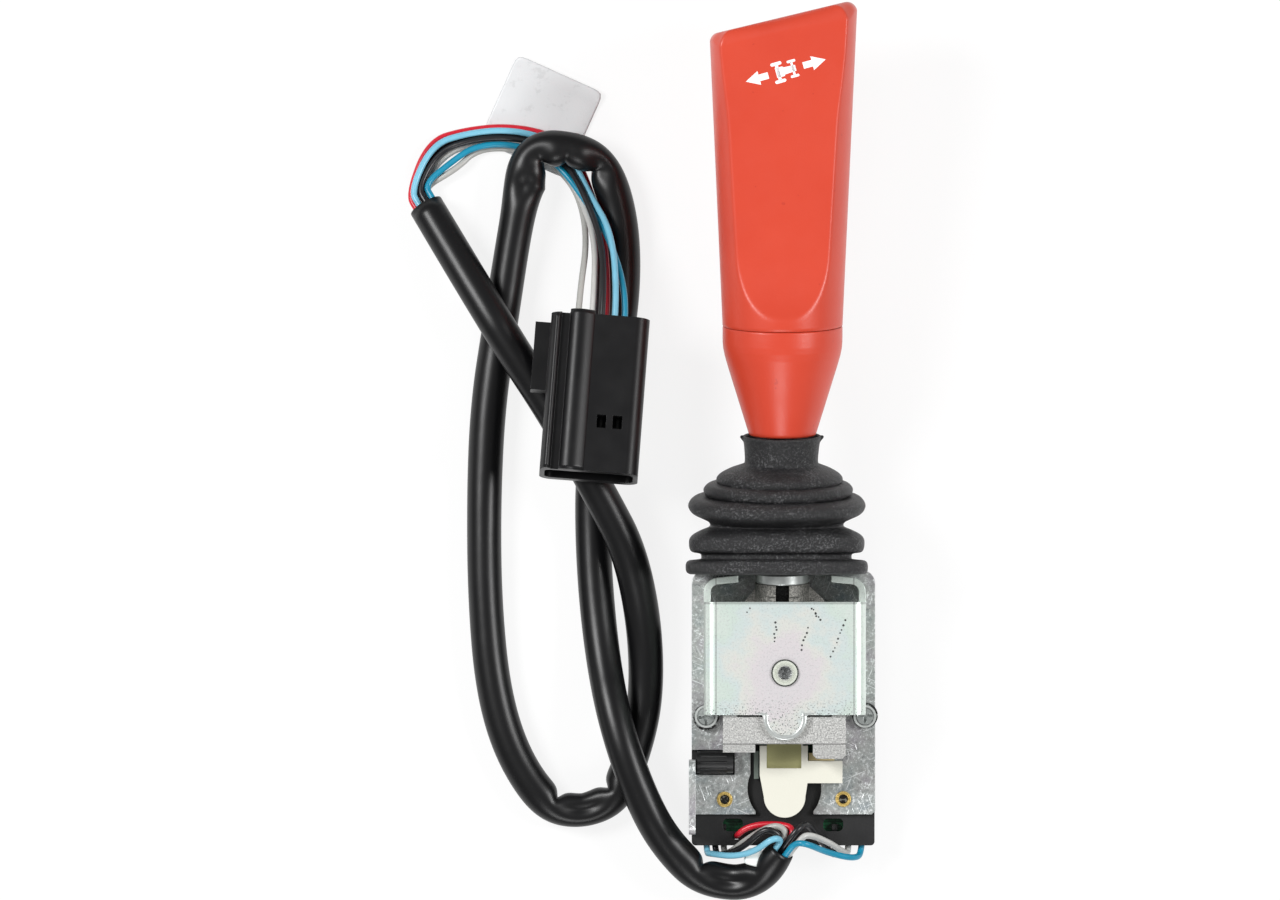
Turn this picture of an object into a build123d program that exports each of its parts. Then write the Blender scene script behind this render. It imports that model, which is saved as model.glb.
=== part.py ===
from build123d import *
import math
import os

os.makedirs("parts", exist_ok=True)

# Frame: X to the right, Y towards the knob, Z up from the table the switch lies on.
# The pivot bolt's axis is the Z axis and the housing's back lies on Z = 0.

# Sheet metal and the depth layout, all in millimetres
sheet = 2.0
plate_back = 12.0
plate_front = plate_back + sheet
bracket_back = 34.0
bracket_front = bracket_back + sheet
pivot_z = 24.5
gap_running = 0.05
gap_soft = 0.3
gap_free = 0.5

# Back plate outline
plate_left = -27.9
plate_right = 27.3
plate_bottom = -42.8
plate_top = 30.7
plate_corner = 4.0
plate_chamfer = 1.0
slot_half = 10.2
slot_top = -20.5
slot_bulge_r = 11.1
slot_bulge_y = -35.0
slot_mouth_half = 8.7
notch_right = -15.0
notch_top = -23.4
notch_bottom = -30.9
notch_fillet = 1.4

# Side tab, bent towards the viewer at the plate's lower left edge
tab_outer = -28.8
tab_top = -26.3
tab_bottom = -48.7
tab_front = 28.0
tab_fillet = 3.0
tab_hole_r = 2.75
tab_hole_y = -37.5
tab_hole_z = 21.0

# Front bracket
bracket_left = -24.3
bracket_right = 24.3
bracket_bottom = -12.6
bracket_top = 21.3
bracket_fillet = 3.4
arm_end = 14.0
arm_bend_y = 24.1
arm_outer_r = 4.5
arm_rise = 0.6
tongue_half = 6.6
tongue_y = -13.6
tenon_length = 6.0
tenon_centres = (3.0, 16.0)
wall_relief_y = -7.0
wall_relief_z = 19.6

# Lever: the axis leans towards the viewer by lever_lean
lever_x = -0.75
lever_lean = 7.0
lever_dir = (0.0, math.cos(math.radians(lever_lean)), math.sin(math.radians(lever_lean)))
tilt_limit = 10.0

# Pivot
bolt_r = 4.0
bolt_socket_r = 2.1
bolt_socket_depth = 2.5
bolt_proud = 0.7
bolt_thread_r = 3.0
bolt_end_z = 2.6
washer_r = 8.0
washer_t = 1.6
nut_flats = 10.0
nut_h = 5.2
bush_wall = 1.5
bush_flange_r = 7.5
bush_flange_t = 1.0
hub_r = 9.5
hub_back = 17.0
hub_front = 32.4

# Stem of the carrier and what slides in it
stem_r = 8.1
stem_top = 27.3
stem_root = 7.0
stem_bore_r = 6.0
stem_bore_low = 7.4
guide_from = 19.0
slit_half = 2.0
rod_r = 4.0
cap_r = 7.9
cap_h = 3.0
web_half = 12.2
web_bottom = 4.0
web_shoulder = 21.5
web_half_depth = 4.5
spring_r = 5.2
spring_wire_r = 0.6
spring_pitch = 2.1
pin_r = 1.5
pin_y = 24.4
pin_gap = 0.1
pin_clear = 0.18
lift_down = 1.6
lift_up = 0.6
rod_low = 9.6
lift_spring_gap = 0.9
stem_flat_z = 33.7
stem_flat_top = 22.8
rod_top = 96.0
seat_r = 5.8
seat_t = 1.2
circlip_r = 5.4
circlip_t = 0.8
circlip_groove_r = 3.3

# Knob
cone_low = 71.9
knob_split = 105.0
cone_low_r = 10.1
cone_high = 98.3
knob_low_r = 18.0
knob_high = 207.0
knob_high_r = 22.4
knob_facet = 13.0
facet_tangent = 127.5
facet_r = 38.0
facet_run = 26.0
facet_foot = facet_tangent - facet_run
knob_edge = 2.2
knob_top_slope = 13.6
knob_top_mid = 197.2
spigot_r = 8.6
spigot_low = 62.5
knob_seam = 0.12
thread_r = 4.0
knob_bore_low = 60.0
insert_r = 7.0
insert_low = 74.0
insert_high = 94.0
joint_boss_r = 14.0
joint_boss_h = 5.0
knob_hollow_low = 112.0
knob_hollow_high = 184.0
knob_hollow_half = 13.0
knob_hollow_depth = 8.5
screw_head_r = 5.0
screw_head_h = 3.0
screw_r = 2.5

# Boot: rounded rectangles below, rings above, all centred as photographed
boot_x = -2.4
boot_z = 24.5
boot_wall = 1.8
boot_levels = (
    (29.55, 34.2, 27.3, 24.5, 8.0),
    (34.2, 36.2, 22.6, 20.4, 9.0),
    (36.2, 43.0, 26.3, 23.6, 10.0),
    (43.0, 47.6, 20.1, 18.6, 12.0),
)
boot_inner_half_x = 17.6
boot_inner_half_z = 16.4
boot_inner_top = 45.8
boot_open_top = 37.0
ring_levels = ((47.6, 53.4, 26.3, -2.2), (53.4, 57.8, 22.3, -1.8), (57.8, 62.6, 18.8, -1.3))
ring_crease = 3.4
ring_tuck = 0.9
ring_round = 1.2
ring_inner_r = 14.4
neck_gap = 0.7
neck_r = 10.9
neck_top_r = 11.7
neck_sink = 1.0
neck_base = ring_levels[-1][1] - neck_sink
neck_flare_run = 1.8
neck_flare = cone_low - neck_gap - neck_flare_run
neck_top = cone_low - neck_gap
neck_bore_r = 8.9
neck_mouth_r = 10.8
neck_mouth_depth = 0.9
neck_mouth_from = neck_top - neck_mouth_depth
neck_lap = 3.0
boot_inner_corner = 8.0

# Cast body
body_left = -18.6
body_right = 18.3
body_bottom = -21.4
body_cheek = 4.2
body_top = 13.0
body_bar_back = 24.9
body_bar_top = -13.2
body_foot_left_in = -8.9
body_foot_right_in = 8.4
body_foot_left_y = -23.9
body_foot_right_y = -25.8
body_foot_chamfer = 2.2
web_swing = 3.0
web_relief_half = body_right - body_cheek - web_swing
web_relief_top = body_top + web_swing
rear_screw_y = 8.0
rear_screw_r = 1.5
rear_screw_depth = 8.0
rear_head_r = 2.9
rear_head_h = 2.2
rear_foot_y = -16.6
rear_foot_x = 14.2

# Rear housing, a tray open at the back and closed by a cover
housing_right = 27.15
housing_bottom = -52.2
housing_top = 14.0
board_top = -11.6
housing_wall = 1.6
housing_corner = 1.2
cover_t = 1.6
cover_gap = 0.15
board_z = 5.4
board_t = 1.6
board_edge = 0.6
window_xs = (-15.5, 14.7)
window_y = -46.0
window_half_x = 3.0
window_half_y = 1.9
look_left = -7.7
look_right = 9.6
look_bottom = -29.6
look_top = -18.0
wire_hole_r = 1.15
wire_exits = (-23.5, -21.0, -18.4, 15.2, 19.3, 23.4)
wire_exit_z = 8.6
red_exit_x = -14.4
red_exit_y = -49.4
red_hole_r = 1.1
sensor_size = (6.0, 5.0, 1.4)
sensor_xs = (-8.0, 0.0, 8.0)
sensor_y = -36.8
terminal_r = 0.9
terminal_h = 1.6
terminal_y = -47.6
post_r = 3.4
post_bore_r = 1.4
post_x = 21.5
post_y = -33.5

# Fasteners on the plate
pan_r = 3.9
pan_h = 2.6
pan_centres = ((-23.6, -13.6), (24.2, -13.0))
pan_shank_r = 1.9
pan_boss_r = 2.7
pan_depth = 4.6
pan_cross = 2.2
pan_cross_w = 0.8
pan_cross_d = 1.2
eyelet_centres = ((-18.0, -38.3), (17.7, -38.2))
eyelet_r = 2.35
eyelet_barrel_r = 1.8
eyelet_hole_r = 1.42
eyelet_flange = 0.5
eyelet_depth = 3.4

# Actuator and what it carries
act_back = 15.2
act_front = 22.4
act_left = -7.5
act_right = 7.0
act_top = -8.6
act_taper_y = -31.0
act_round_y = -37.4
act_round_r = 6.25
act_arm_right = 17.4
act_arm_top = -26.6
act_arm_bottom = -33.3
pocket_left = -5.4
pocket_right = 5.0
pocket_bottom = -28.8
pocket_top = -20.0
pocket_depth = 3.0
insert_drop = 0.8
magnet_r = 3.0
magnet_h = 2.4
magnet_y = -36.6
act_neck_half = 5.4
act_pin_r = 1.5
act_pin_y = -12.6
arm_low_half = 7.2
arm_low_bottom = -16.8
arm_low_back = 22.6
arm_low_front = 24.6

# Detent
plunger_r = 1.5
plunger_y = -15.6
plunger_clear = 0.06
plunger_out = 0.5
plunger_tail = 5.4
detent_gap = 0.1
detent_bore_top = 24.0
detent_spring_r = 1.1

# Loose pieces beside the actuator
latch_r = 3.3
latch_left = -26.4
latch_right = -15.4
latch_y = -27.1
latch_z = 15.3
latch_rib = 0.35
latch_ribs = 5
grey_guide = (-9.2, -7.8, -32.1, -23.8, 12.0, 14.8)
tan_guide = (7.3, 15.0, -26.6, -24.3, 14.0, 14.9)

# Wire harness: radii and routes
sleeve_r = 5.25
wire_r = 0.95
corner_share = 0.45
sleeve_route = (
    (-0.9, -53.4, 20.0), (-8.4, -63.6, 15.2), (-23.7, -62.4, 12.5), (-35.1, -52.5, 13.5),
    (-43.2, -38.1, 16.15), (-51.0, -15.6, 16.15), (-55.2, 6.9, 8.0), (-57.6, 33.9, 5.35),
    (-57.9, 60.9, 5.35), (-54.3, 86.4, 5.35), (-49.2, 105.9, 5.35), (-48.3, 129.9, 5.35),
    (-52.2, 148.5, 6.2), (-60.6, 157.5, 9.9), (-75.6, 156.9, 9.9), (-80.1, 140.4, 7.0),
    (-85.5, 105.9, 5.35), (-89.4, 80.4, 5.35), (-90.6, 51.9, 5.35), (-90.3, 21.9, 5.35),
    (-87.9, -5.1, 5.35), (-82.2, -24.6, 5.35), (-72.6, -39.0, 5.35), (-60.9, -42.6, 5.35),
    (-50.4, -36.9, 5.35), (-44.1, -20.7, 5.35), (-41.4, -5.1, 5.35), (-42.3, 15.9, 8.5),
    (-46.8, 36.9, 14.5), (-54.6, 51.9, 16.15), (-62.1, 65.4, 16.15), (-72.0, 81.9, 15.0),
    (-81.0, 95.7, 16.15), (-90.6, 111.3, 16.15), (-108.0, 140.4, 6.0),
)
wire_routes = {
    "connector_wire_grey": (
        (-106.13, 140.98, 4.47), (-109.08, 145.91, 2.75), (-98.74, 151.71, 4.24),
        (-93.19, 157.31, 1.4), (-83.73, 158.27, 1.4), (-73.96, 155.68, 1.4),
        (-66.73, 150.63, 1.4), (-61.42, 142.55, 3.65), (-59.4, 129.9, 12.0),
        (-61.45, 115.31, 23.7), (-62.12, 106.52, 25.49),
    ),
    "connector_wire_striped": (
        (-107.42, 139.81, 3.32), (-110.37, 144.75, 1.6), (-103.01, 155.75, 1.4),
        (-94.22, 159.36, 1.4), (-83.75, 160.26, 1.4), (-73.37, 158.11, 1.46),
        (-65.58, 152.36, 2.23), (-61.42, 143.47, 5.74), (-56.89, 130.14, 14.28),
        (-57.24, 115.21, 24.77), (-57.92, 106.42, 26.57),
    ),
    "connector_wire_black_b": (
        (-109.14, 139.19, 4.47), (-112.09, 144.12, 2.75), (-105.81, 158.52, 1.75),
        (-95.19, 161.49, 1.4), (-83.72, 162.59, 1.4), (-71.97, 160.16, 1.4),
        (-64.17, 153.85, 1.4), (-60.22, 144.8, 4.06), (-55.98, 131.26, 10.67),
        (-56.3, 114.34, 20.85), (-56.98, 105.55, 22.65),
    ),
    "connector_wire_red": (
        (-110.52, 138.96, 6.19), (-113.47, 143.89, 4.47), (-107.29, 160.18, 2.48),
        (-96.0, 163.46, 1.4), (-83.7, 164.63, 1.4), (-71.32, 162.46, 1.43),
        (-63.7, 156.83, 1.99), (-59.32, 147.94, 3.57), (-54.31, 131.97, 12.14),
        (-53.08, 114.61, 23.4), (-53.75, 105.82, 25.2),
    ),
    "connector_wire_light_blue": (
        (-109.7, 140.12, 8.11), (-112.65, 145.05, 6.39), (-106.15, 159.14, 4.12),
        (-95.7, 162.42, 3.4), (-83.6, 163.62, 3.75), (-71.76, 161.08, 3.21),
        (-63.94, 154.85, 3.25), (-59.01, 144.56, 8.36), (-52.02, 132.59, 16.93),
        (-50.45, 114.81, 25.36), (-51.13, 106.02, 27.16),
    ),
    "connector_wire_black_a": (
        (-107.63, 140.95, 6.96), (-110.58, 145.89, 5.24), (-104.25, 157.18, 2.69),
        (-94.4, 160.46, 3.85), (-83.67, 161.39, 3.07), (-72.89, 159.29, 3.09),
        (-65.64, 153.71, 3.86), (-60.38, 144.25, 10.5), (-54.9, 129.9, 17.4),
        (-54.32, 115.35, 26.54), (-55.0, 106.55, 28.33),
    ),
    "connector_wire_blue": (
        (-105.63, 142.09, 6.77), (-108.58, 147.02, 5.05), (-100.44, 153.69, 4.37),
        (-93.68, 158.47, 3.62), (-83.67, 159.38, 3.44), (-73.81, 156.8, 3.04),
        (-66.86, 151.6, 3.95), (-60.15, 142.35, 8.89), (-52.95, 131.42, 15.17),
        (-47.49, 114.14, 23.21), (-48.17, 105.35, 25.0),
    ),
    "board_wire_light_blue": (
        (-23.5, -47.7, 8.6), (-23.5, -54.6, 8.6), (-22.41, -54.64, 12.48),
        (-15.24, -55.43, 19.09), (-8.8, -53.72, 22.35), (-3.65, -49.7, 25.83),
        (-0.83, -50.21, 22.96), (-2.77, -52.84, 21.72),
    ),
    "board_wire_black_a": (
        (-21.0, -47.7, 8.6), (-21.0, -54.2, 8.6), (-19.27, -55.33, 12.33),
        (-12.5, -52.92, 17.74), (-5.95, -46.43, 22.12), (-0.96, -49.09, 21.3),
        (-3.0, -51.86, 20.0),
    ),
    "board_wire_grey": (
        (-18.4, -47.7, 8.6), (-18.4, -53.7, 8.6), (-17.32, -55.09, 11.2),
        (-10.29, -49.38, 17.2), (-2.73, -45.52, 19.5), (0.85, -47.91, 20.1),
        (-2.0, -51.79, 18.28),
    ),
    "board_wire_red": (
        (-14.4, -49.4, 7.2), (-14.4, -49.4, 13.8), (-12.3, -47.2, 15.01),
        (-7.1, -45.6, 16.0), (1.49, -45.98, 17.38), (2.74, -48.45, 19.55),
        (-0.35, -52.66, 17.57),
    ),
    "board_wire_blue": (
        (23.4, -47.7, 8.6), (23.4, -54.6, 8.6), (21.16, -56.21, 12.92),
        (13.2, -54.4, 17.5), (6.68, -51.45, 25.38), (3.0, -51.2, 23.51),
        (0.2, -55.01, 21.72),
    ),
    "board_wire_striped": (
        (19.3, -47.7, 8.6), (19.3, -54.0, 8.6), (18.6, -54.76, 11.08),
        (13.22, -51.05, 16.13), (6.68, -48.45, 21.44), (4.26, -50.77, 21.96),
        (1.2, -54.94, 20.0),
    ),
    "board_wire_black_b": (
        (15.2, -47.7, 8.6), (15.2, -53.7, 8.6), (14.94, -55.62, 11.66),
        (9.61, -49.1, 15.52), (6.82, -45.45, 18.55), (3.9, -46.88, 23.07),
        (-0.9, -53.4, 20.0),
    ),
}

# Connector: its own plane stands at the wire end, its axis runs to the mouth
connector_at = (-55.35, 105.9, 25.0)
connector_turn = 4.4
connector_rise = 11.5
conn_half_w = 14.8
conn_half_t = 8.6
conn_length = 48.0
conn_corner = 4.0
conn_wall = 1.5
conn_cavity_depth = 26.0
groove_u = -10.4
groove_half = 1.2
groove_depth = 1.4
rail_w = 4.6
rail_t = 5.0
rail_from = 2.6
rail_to = 23.4
latch_us = (2.6, 7.4)
latch_half = 1.4
latch_a = 30.6
latch_len = 4.0
pin_blade_w = 1.0
pin_blade_t = 0.6
pin_blade_len = 14.0
pin_columns = (-7.5, -2.5, 2.5, 7.5)
pin_rows = (-3.0, 3.0)

# Label and cable tie
label_centre = (-74.4, 166.8)
label_angle = -24.2
label_w = 28.5
label_h = 28.4
label_t = 0.25
label_z = 0.02
label_corner = 1.2
tie_inner_gap = 0.25
tie_t = 0.9
tie_w = 3.6
tie_at = 2.6
tie_head = (5.0, 6.0, 4.4)


def save(piece, label):
    piece.label = label
    export_step(piece, "parts/" + label + ".step")


def box_between(low, high):
    centre = tuple((a + b) / 2 for a, b in zip(low, high))
    size = tuple(b - a for a, b in zip(low, high))
    with Locations(centre):
        Box(*size)


def cut_between(low, high):
    centre = tuple((a + b) / 2 for a, b in zip(low, high))
    size = tuple(b - a for a, b in zip(low, high))
    with Locations(centre):
        Box(*size, mode=Mode.SUBTRACT)


lever_plane = Plane(origin=(lever_x, 0, pivot_z), x_dir=(1, 0, 0), z_dir=lever_dir)


def along(distance):
    return lever_plane.offset(distance)


# Back plate
with BuildPart() as back_plate:
    with BuildSketch(Plane.XY.offset(plate_back)):
        with BuildLine():
            Polyline(
                (plate_left, plate_bottom),
                (plate_right, plate_bottom),
                (plate_right, plate_top),
                (plate_left, plate_top),
                close=True,
            )
        make_face()
    extrude(amount=sheet)
    top_edges = back_plate.edges().filter_by(Axis.Z).group_by(Axis.Y)[-1]
    fillet(top_edges, radius=plate_corner)
    low_edges = back_plate.edges().filter_by(Axis.Z).group_by(Axis.Y)[0]
    chamfer(low_edges, length=plate_chamfer)
    with BuildSketch(Plane.XY.offset(plate_back)):
        with Locations((0, (slot_top + slot_bulge_y) / 2)):
            Rectangle(2 * slot_half, slot_top - slot_bulge_y)
        with Locations((0, slot_bulge_y)):
            Circle(slot_bulge_r)
        with Locations((0, (slot_bulge_y + plate_bottom) / 2 - 1)):
            Rectangle(2 * slot_mouth_half, slot_bulge_y - plate_bottom + 2)
        with Locations(((plate_left + notch_right) / 2 - 1, (notch_top + notch_bottom) / 2)):
            Rectangle(notch_right - plate_left + 2, notch_top - notch_bottom)
        Circle(bolt_thread_r + gap_running)
        for angle in (-10, -8, -6, -4, -2, 0, 2, 4, 6, 8, 10):
            turn = Location((0, 0, 0), (0, 0, angle * tilt_limit / 10))
            low = pin_y - pin_r - pin_clear
            if angle in (-10, 0, 10):
                low = pin_y - lift_down - pin_r - pin_gap
            high = pin_y + lift_up + pin_r + pin_clear
            with Locations(turn * Location((lever_x, (low + high) / 2, 0))):
                Rectangle(2 * (pin_r + pin_gap), high - low)
        for centre in pan_centres:
            with Locations(centre):
                Circle(pan_shank_r)
        for centre in eyelet_centres:
            with Locations(centre):
                Circle(eyelet_barrel_r)
        for side in (-1, 1):
            with Locations((side * (body_right - body_cheek / 2), rear_screw_y)):
                Circle(rear_screw_r)
            for y in tenon_centres:
                with Locations((side * (bracket_right - sheet / 2), y)):
                    Rectangle(sheet, tenon_length)
    extrude(amount=sheet, mode=Mode.SUBTRACT)
    for angle in (-1, 0, 1):
        a = math.radians(angle * tilt_limit)
        tip = plate_front + plunger_clear + plunger_r - plunger_out
        spot = (-plunger_y * math.sin(a), plunger_y * math.cos(a), tip)
        with Locations(spot):
            Sphere(plunger_r + detent_gap, mode=Mode.SUBTRACT)
    box_between((tab_outer, tab_bottom, plate_back), (tab_outer + sheet, tab_top, tab_front))
    tab_edges = back_plate.edges().filter_by(Axis.X).group_by(Axis.Z)[-1]
    fillet(tab_edges, radius=tab_fillet)
    with BuildSketch(Plane.YZ.offset(tab_outer)):
        with Locations((tab_hole_y, tab_hole_z)):
            Circle(tab_hole_r)
    extrude(amount=sheet, mode=Mode.SUBTRACT)
save(back_plate.part, "back_plate")


# Front bracket: a face, two walls and two arms bent inwards under the boot
with BuildPart() as front_bracket:
    box_between(
        (bracket_left, bracket_bottom, plate_front), (bracket_right, bracket_top, bracket_front)
    )
    outer_bends = front_bracket.edges().filter_by(Axis.Y).group_by(Axis.Z)[-1]
    fillet(outer_bends, radius=bracket_fillet)
    with BuildSketch(Plane.XZ.offset(-bracket_top - 1)):
        with BuildLine():
            inner_half = bracket_right - sheet
            inner_r = bracket_fillet - sheet
            Line((-inner_half, plate_front - 1), (inner_half, plate_front - 1))
            Line((inner_half, plate_front - 1), (inner_half, bracket_back - inner_r))
            JernArc((inner_half, bracket_back - inner_r), (0, 1), inner_r, 90)
            Line((inner_half - inner_r, bracket_back), (-inner_half + inner_r, bracket_back))
            JernArc((-inner_half + inner_r, bracket_back), (-1, 0), inner_r, 90)
            Line((-inner_half, bracket_back - inner_r), (-inner_half, plate_front - 1))
        make_face()
    extrude(amount=bracket_top - bracket_bottom + 2, mode=Mode.SUBTRACT)
    for side in (-1, 1):
        with BuildSketch(Plane.XY.offset(plate_front)):
            with BuildLine():
                arm_x = bracket_right - arm_outer_r
                arm_y = arm_bend_y + arm_outer_r
                inner_bend = arm_outer_r - sheet
                half_turn = math.sqrt(0.5)
                ThreePointArc(
                    (side * bracket_right, arm_bend_y),
                    (side * (arm_x + arm_outer_r * half_turn), arm_bend_y + arm_outer_r * half_turn),
                    (side * arm_x, arm_y),
                )
                Polyline(
                    (side * arm_x, arm_y),
                    (side * arm_end, arm_y + arm_rise),
                    (side * arm_end, arm_y + arm_rise - sheet),
                    (side * arm_x, arm_y - sheet),
                )
                ThreePointArc(
                    (side * arm_x, arm_y - sheet),
                    (side * (arm_x + inner_bend * half_turn), arm_bend_y + inner_bend * half_turn),
                    (side * (bracket_right - sheet), arm_bend_y),
                )
                Polyline(
                    (side * (bracket_right - sheet), arm_bend_y),
                    (side * (bracket_right - sheet), bracket_top - 1),
                    (side * bracket_right, bracket_top - 1),
                    (side * bracket_right, arm_bend_y),
                )
            make_face()
        extrude(amount=bracket_back - bracket_fillet - plate_front + 1)
    with BuildSketch(Plane.XY.offset(bracket_back)):
        with Locations((0, (bracket_bottom + tongue_y) / 2)):
            Rectangle(2 * tongue_half, bracket_bottom - tongue_y + 2 * gap_free)
        with Locations((0, tongue_y)):
            Circle(tongue_half)
    extrude(amount=sheet)
    for side in (-1, 1):
        wall_x = (side * bracket_right - 3, side * bracket_right + 3)
        cut_between(
            (wall_x[0], bracket_bottom - 1, plate_front - 1),
            (wall_x[1], wall_relief_y, wall_relief_z),
        )
        for y in tenon_centres:
            centre_x = side * (bracket_right - sheet / 2)
            with Locations((centre_x, y, plate_back + sheet / 2)):
                Box(sheet, tenon_length, sheet)
    with Locations((0, 0, bracket_back + sheet / 2)):
        Cylinder(bolt_r + gap_running, 2 * sheet, mode=Mode.SUBTRACT)
save(front_bracket.part, "front_bracket")


# Pivot bolt, washer and nut
with BuildPart() as pivot_bolt:
    with BuildSketch(Plane.XY.offset(plate_front)):
        Circle(bolt_r)
    extrude(amount=bracket_front + bolt_proud - plate_front)
    with BuildSketch(Plane.XY.offset(bolt_end_z)):
        Circle(bolt_thread_r)
    extrude(amount=plate_front - bolt_end_z)
    with BuildSketch(Plane.XY.offset(bracket_front + bolt_proud - bolt_socket_depth)):
        RegularPolygon(bolt_socket_r, 6)
    extrude(amount=bolt_socket_depth, mode=Mode.SUBTRACT)
save(pivot_bolt.part, "pivot_bolt")

with BuildPart() as pivot_washer:
    with BuildSketch(Plane.XY.offset(plate_back - washer_t)):
        Circle(washer_r)
        Circle(bolt_thread_r + gap_running, mode=Mode.SUBTRACT)
    extrude(amount=washer_t)
save(pivot_washer.part, "pivot_washer")

with BuildPart() as pivot_nut:
    with BuildSketch(Plane.XY.offset(plate_back - washer_t - nut_h)):
        RegularPolygon(nut_flats / 2, 6, major_radius=False)
        Circle(bolt_thread_r, mode=Mode.SUBTRACT)
    extrude(amount=nut_h)
save(pivot_nut.part, "pivot_nut")


# Cast body: two cheeks, a bar in front of the actuator and two feet
with BuildPart() as cast_body:
    for side, inner, foot_y in (
        (-1, body_foot_left_in, body_foot_left_y),
        (1, body_foot_right_in, body_foot_right_y),
    ):
        outer = body_left if side < 0 else body_right
        cheek = outer - side * body_cheek
        box_between(
            (min(outer, cheek), body_bottom, plate_front),
            (max(outer, cheek), body_top, bracket_back),
        )
        box_between(
            (min(outer, inner), foot_y, body_bar_back),
            (max(outer, inner), body_bottom + body_cheek, bracket_back),
        )
    foot_edges = cast_body.edges().filter_by(Axis.Z).sort_by(Axis.Y)[:2]
    chamfer(foot_edges, length=body_foot_chamfer / 2)
    box_between((body_left, body_bottom, body_bar_back), (body_right, body_bar_top, bracket_back))
    for side in (-1, 1):
        with Locations((side * (body_right - body_cheek / 2), rear_screw_y, plate_front)):
            Cylinder(rear_screw_r, 2 * rear_screw_depth, mode=Mode.SUBTRACT)
save(cast_body.part, "cast_body")

with BuildPart() as rear_screws:
    for side in (-1, 1):
        spot = (side * (body_right - body_cheek / 2), rear_screw_y)
        with BuildSketch(Plane.XY.offset(plate_back - rear_head_h)):
            with Locations(spot):
                Circle(rear_head_r)
        extrude(amount=rear_head_h)
        with BuildSketch(Plane.XY.offset(plate_back)):
            with Locations(spot):
                Circle(rear_screw_r)
        extrude(amount=rear_screw_depth)
save(rear_screws.part, "rear_screws")


# Carrier: hub, stem with its slit, webs and the low arm that holds the actuator
with BuildPart() as lever_carrier:
    with BuildSketch(Plane.XY.offset(hub_back)):
        Circle(hub_r)
    extrude(amount=hub_front - hub_back)
    box_between(
        (-web_half, web_bottom, pivot_z - web_half_depth),
        (web_half, web_shoulder, pivot_z + web_half_depth + 1),
    )
    shoulder_edges = lever_carrier.edges().filter_by(Axis.Z).group_by(Axis.Y)[-1]
    chamfer(shoulder_edges, length=1.2)
    for side in (-1, 1):
        cut_between(
            (min(side * web_relief_half, side * (web_half + 1)), web_bottom - 1, hub_back),
            (max(side * web_relief_half, side * (web_half + 1)), web_relief_top, bracket_front),
        )
    with BuildSketch(along(0)) as stem_section:
        Circle(stem_r)
    extrude(amount=stem_top)
    with BuildSketch(Plane.XY.offset(pivot_z - 1)):
        with BuildLine():
            Polyline(
                (-web_half, web_shoulder - 1),
                (web_half, web_shoulder - 1),
                (web_half - 0.6, web_shoulder + 0.6),
                (stem_r - 0.8, stem_top - 1.2),
                (-stem_r + 0.8 + lever_x, stem_top - 1.2),
                (-web_half + 0.6, web_shoulder + 0.6),
                close=True,
            )
        make_face()
    extrude(amount=3)
    box_between((-arm_low_half, arm_low_bottom, hub_back), (arm_low_half, 0, arm_low_front))
    with BuildSketch(along(guide_from)):
        Circle(rod_r + gap_running)
    extrude(amount=stem_top - guide_from + 1, mode=Mode.SUBTRACT)
    with BuildSketch(along(stem_bore_low)):
        Circle(stem_bore_r)
    extrude(amount=guide_from - stem_bore_low, mode=Mode.SUBTRACT)
    with BuildSketch(along(stem_bore_low)):
        with Locations((0, -stem_r)):
            Rectangle(2 * slit_half, 2 * stem_r)
    extrude(amount=stem_top - stem_bore_low + 1, mode=Mode.SUBTRACT)
    with BuildSketch(along(guide_from + 1)):
        with Locations((0, stem_r)):
            Rectangle(2 * (pin_r + pin_gap), 2 * stem_r)
    extrude(amount=stem_top - guide_from, mode=Mode.SUBTRACT)
    cut_between((-stem_r - 1, 0, stem_flat_z), (stem_r + 1, stem_flat_top, bracket_front + 4))
    with Locations((0, 0, pivot_z)):
        Cylinder(bolt_r + bush_wall, 40, mode=Mode.SUBTRACT)
    with Locations((0, 0, hub_front)):
        Cylinder(bush_flange_r, 2 * bush_flange_t, mode=Mode.SUBTRACT)
    with Locations((0, 0, hub_front + sheet)):
        Cylinder(hub_r, 2 * sheet, mode=Mode.SUBTRACT)
    with Locations((0, 0, hub_back)):
        Cylinder(bush_flange_r, 2 * bush_flange_t, mode=Mode.SUBTRACT)
    cut_between((-act_neck_half, act_top - 8.4, hub_back - 1), (act_neck_half, act_top, act_front))
    with Locations((0, plunger_y, (act_front + detent_bore_top) / 2)):
        Cylinder(plunger_r + gap_running, detent_bore_top - act_front, mode=Mode.SUBTRACT)
save(lever_carrier.part, "lever_carrier")

with BuildPart() as pivot_bushes:
    for end, face in ((-1, hub_back), (1, hub_front)):
        flange = face - end * bush_flange_t
        with BuildSketch(Plane.XY.offset(min(face, flange))):
            Circle(bush_flange_r)
            Circle(bolt_r + gap_running, mode=Mode.SUBTRACT)
        extrude(amount=bush_flange_t)
        sleeve_len = 5.0
        start = flange if end < 0 else flange - sleeve_len
        with BuildSketch(Plane.XY.offset(start)):
            Circle(bolt_r + bush_wall)
            Circle(bolt_r + gap_running, mode=Mode.SUBTRACT)
        extrude(amount=sleeve_len)
save(pivot_bushes.part, "pivot_bushes")

with BuildPart() as stem_cap:
    with BuildSketch(along(stem_top)):
        Circle(cap_r)
        Circle(rod_r + gap_running, mode=Mode.SUBTRACT)
    extrude(amount=cap_h)
    cap_edges = stem_cap.edges().filter_by(GeomType.CIRCLE).sort_by(SortBy.RADIUS)[-2:]
    fillet(cap_edges, radius=0.4)
save(stem_cap.part, "stem_cap")


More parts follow.
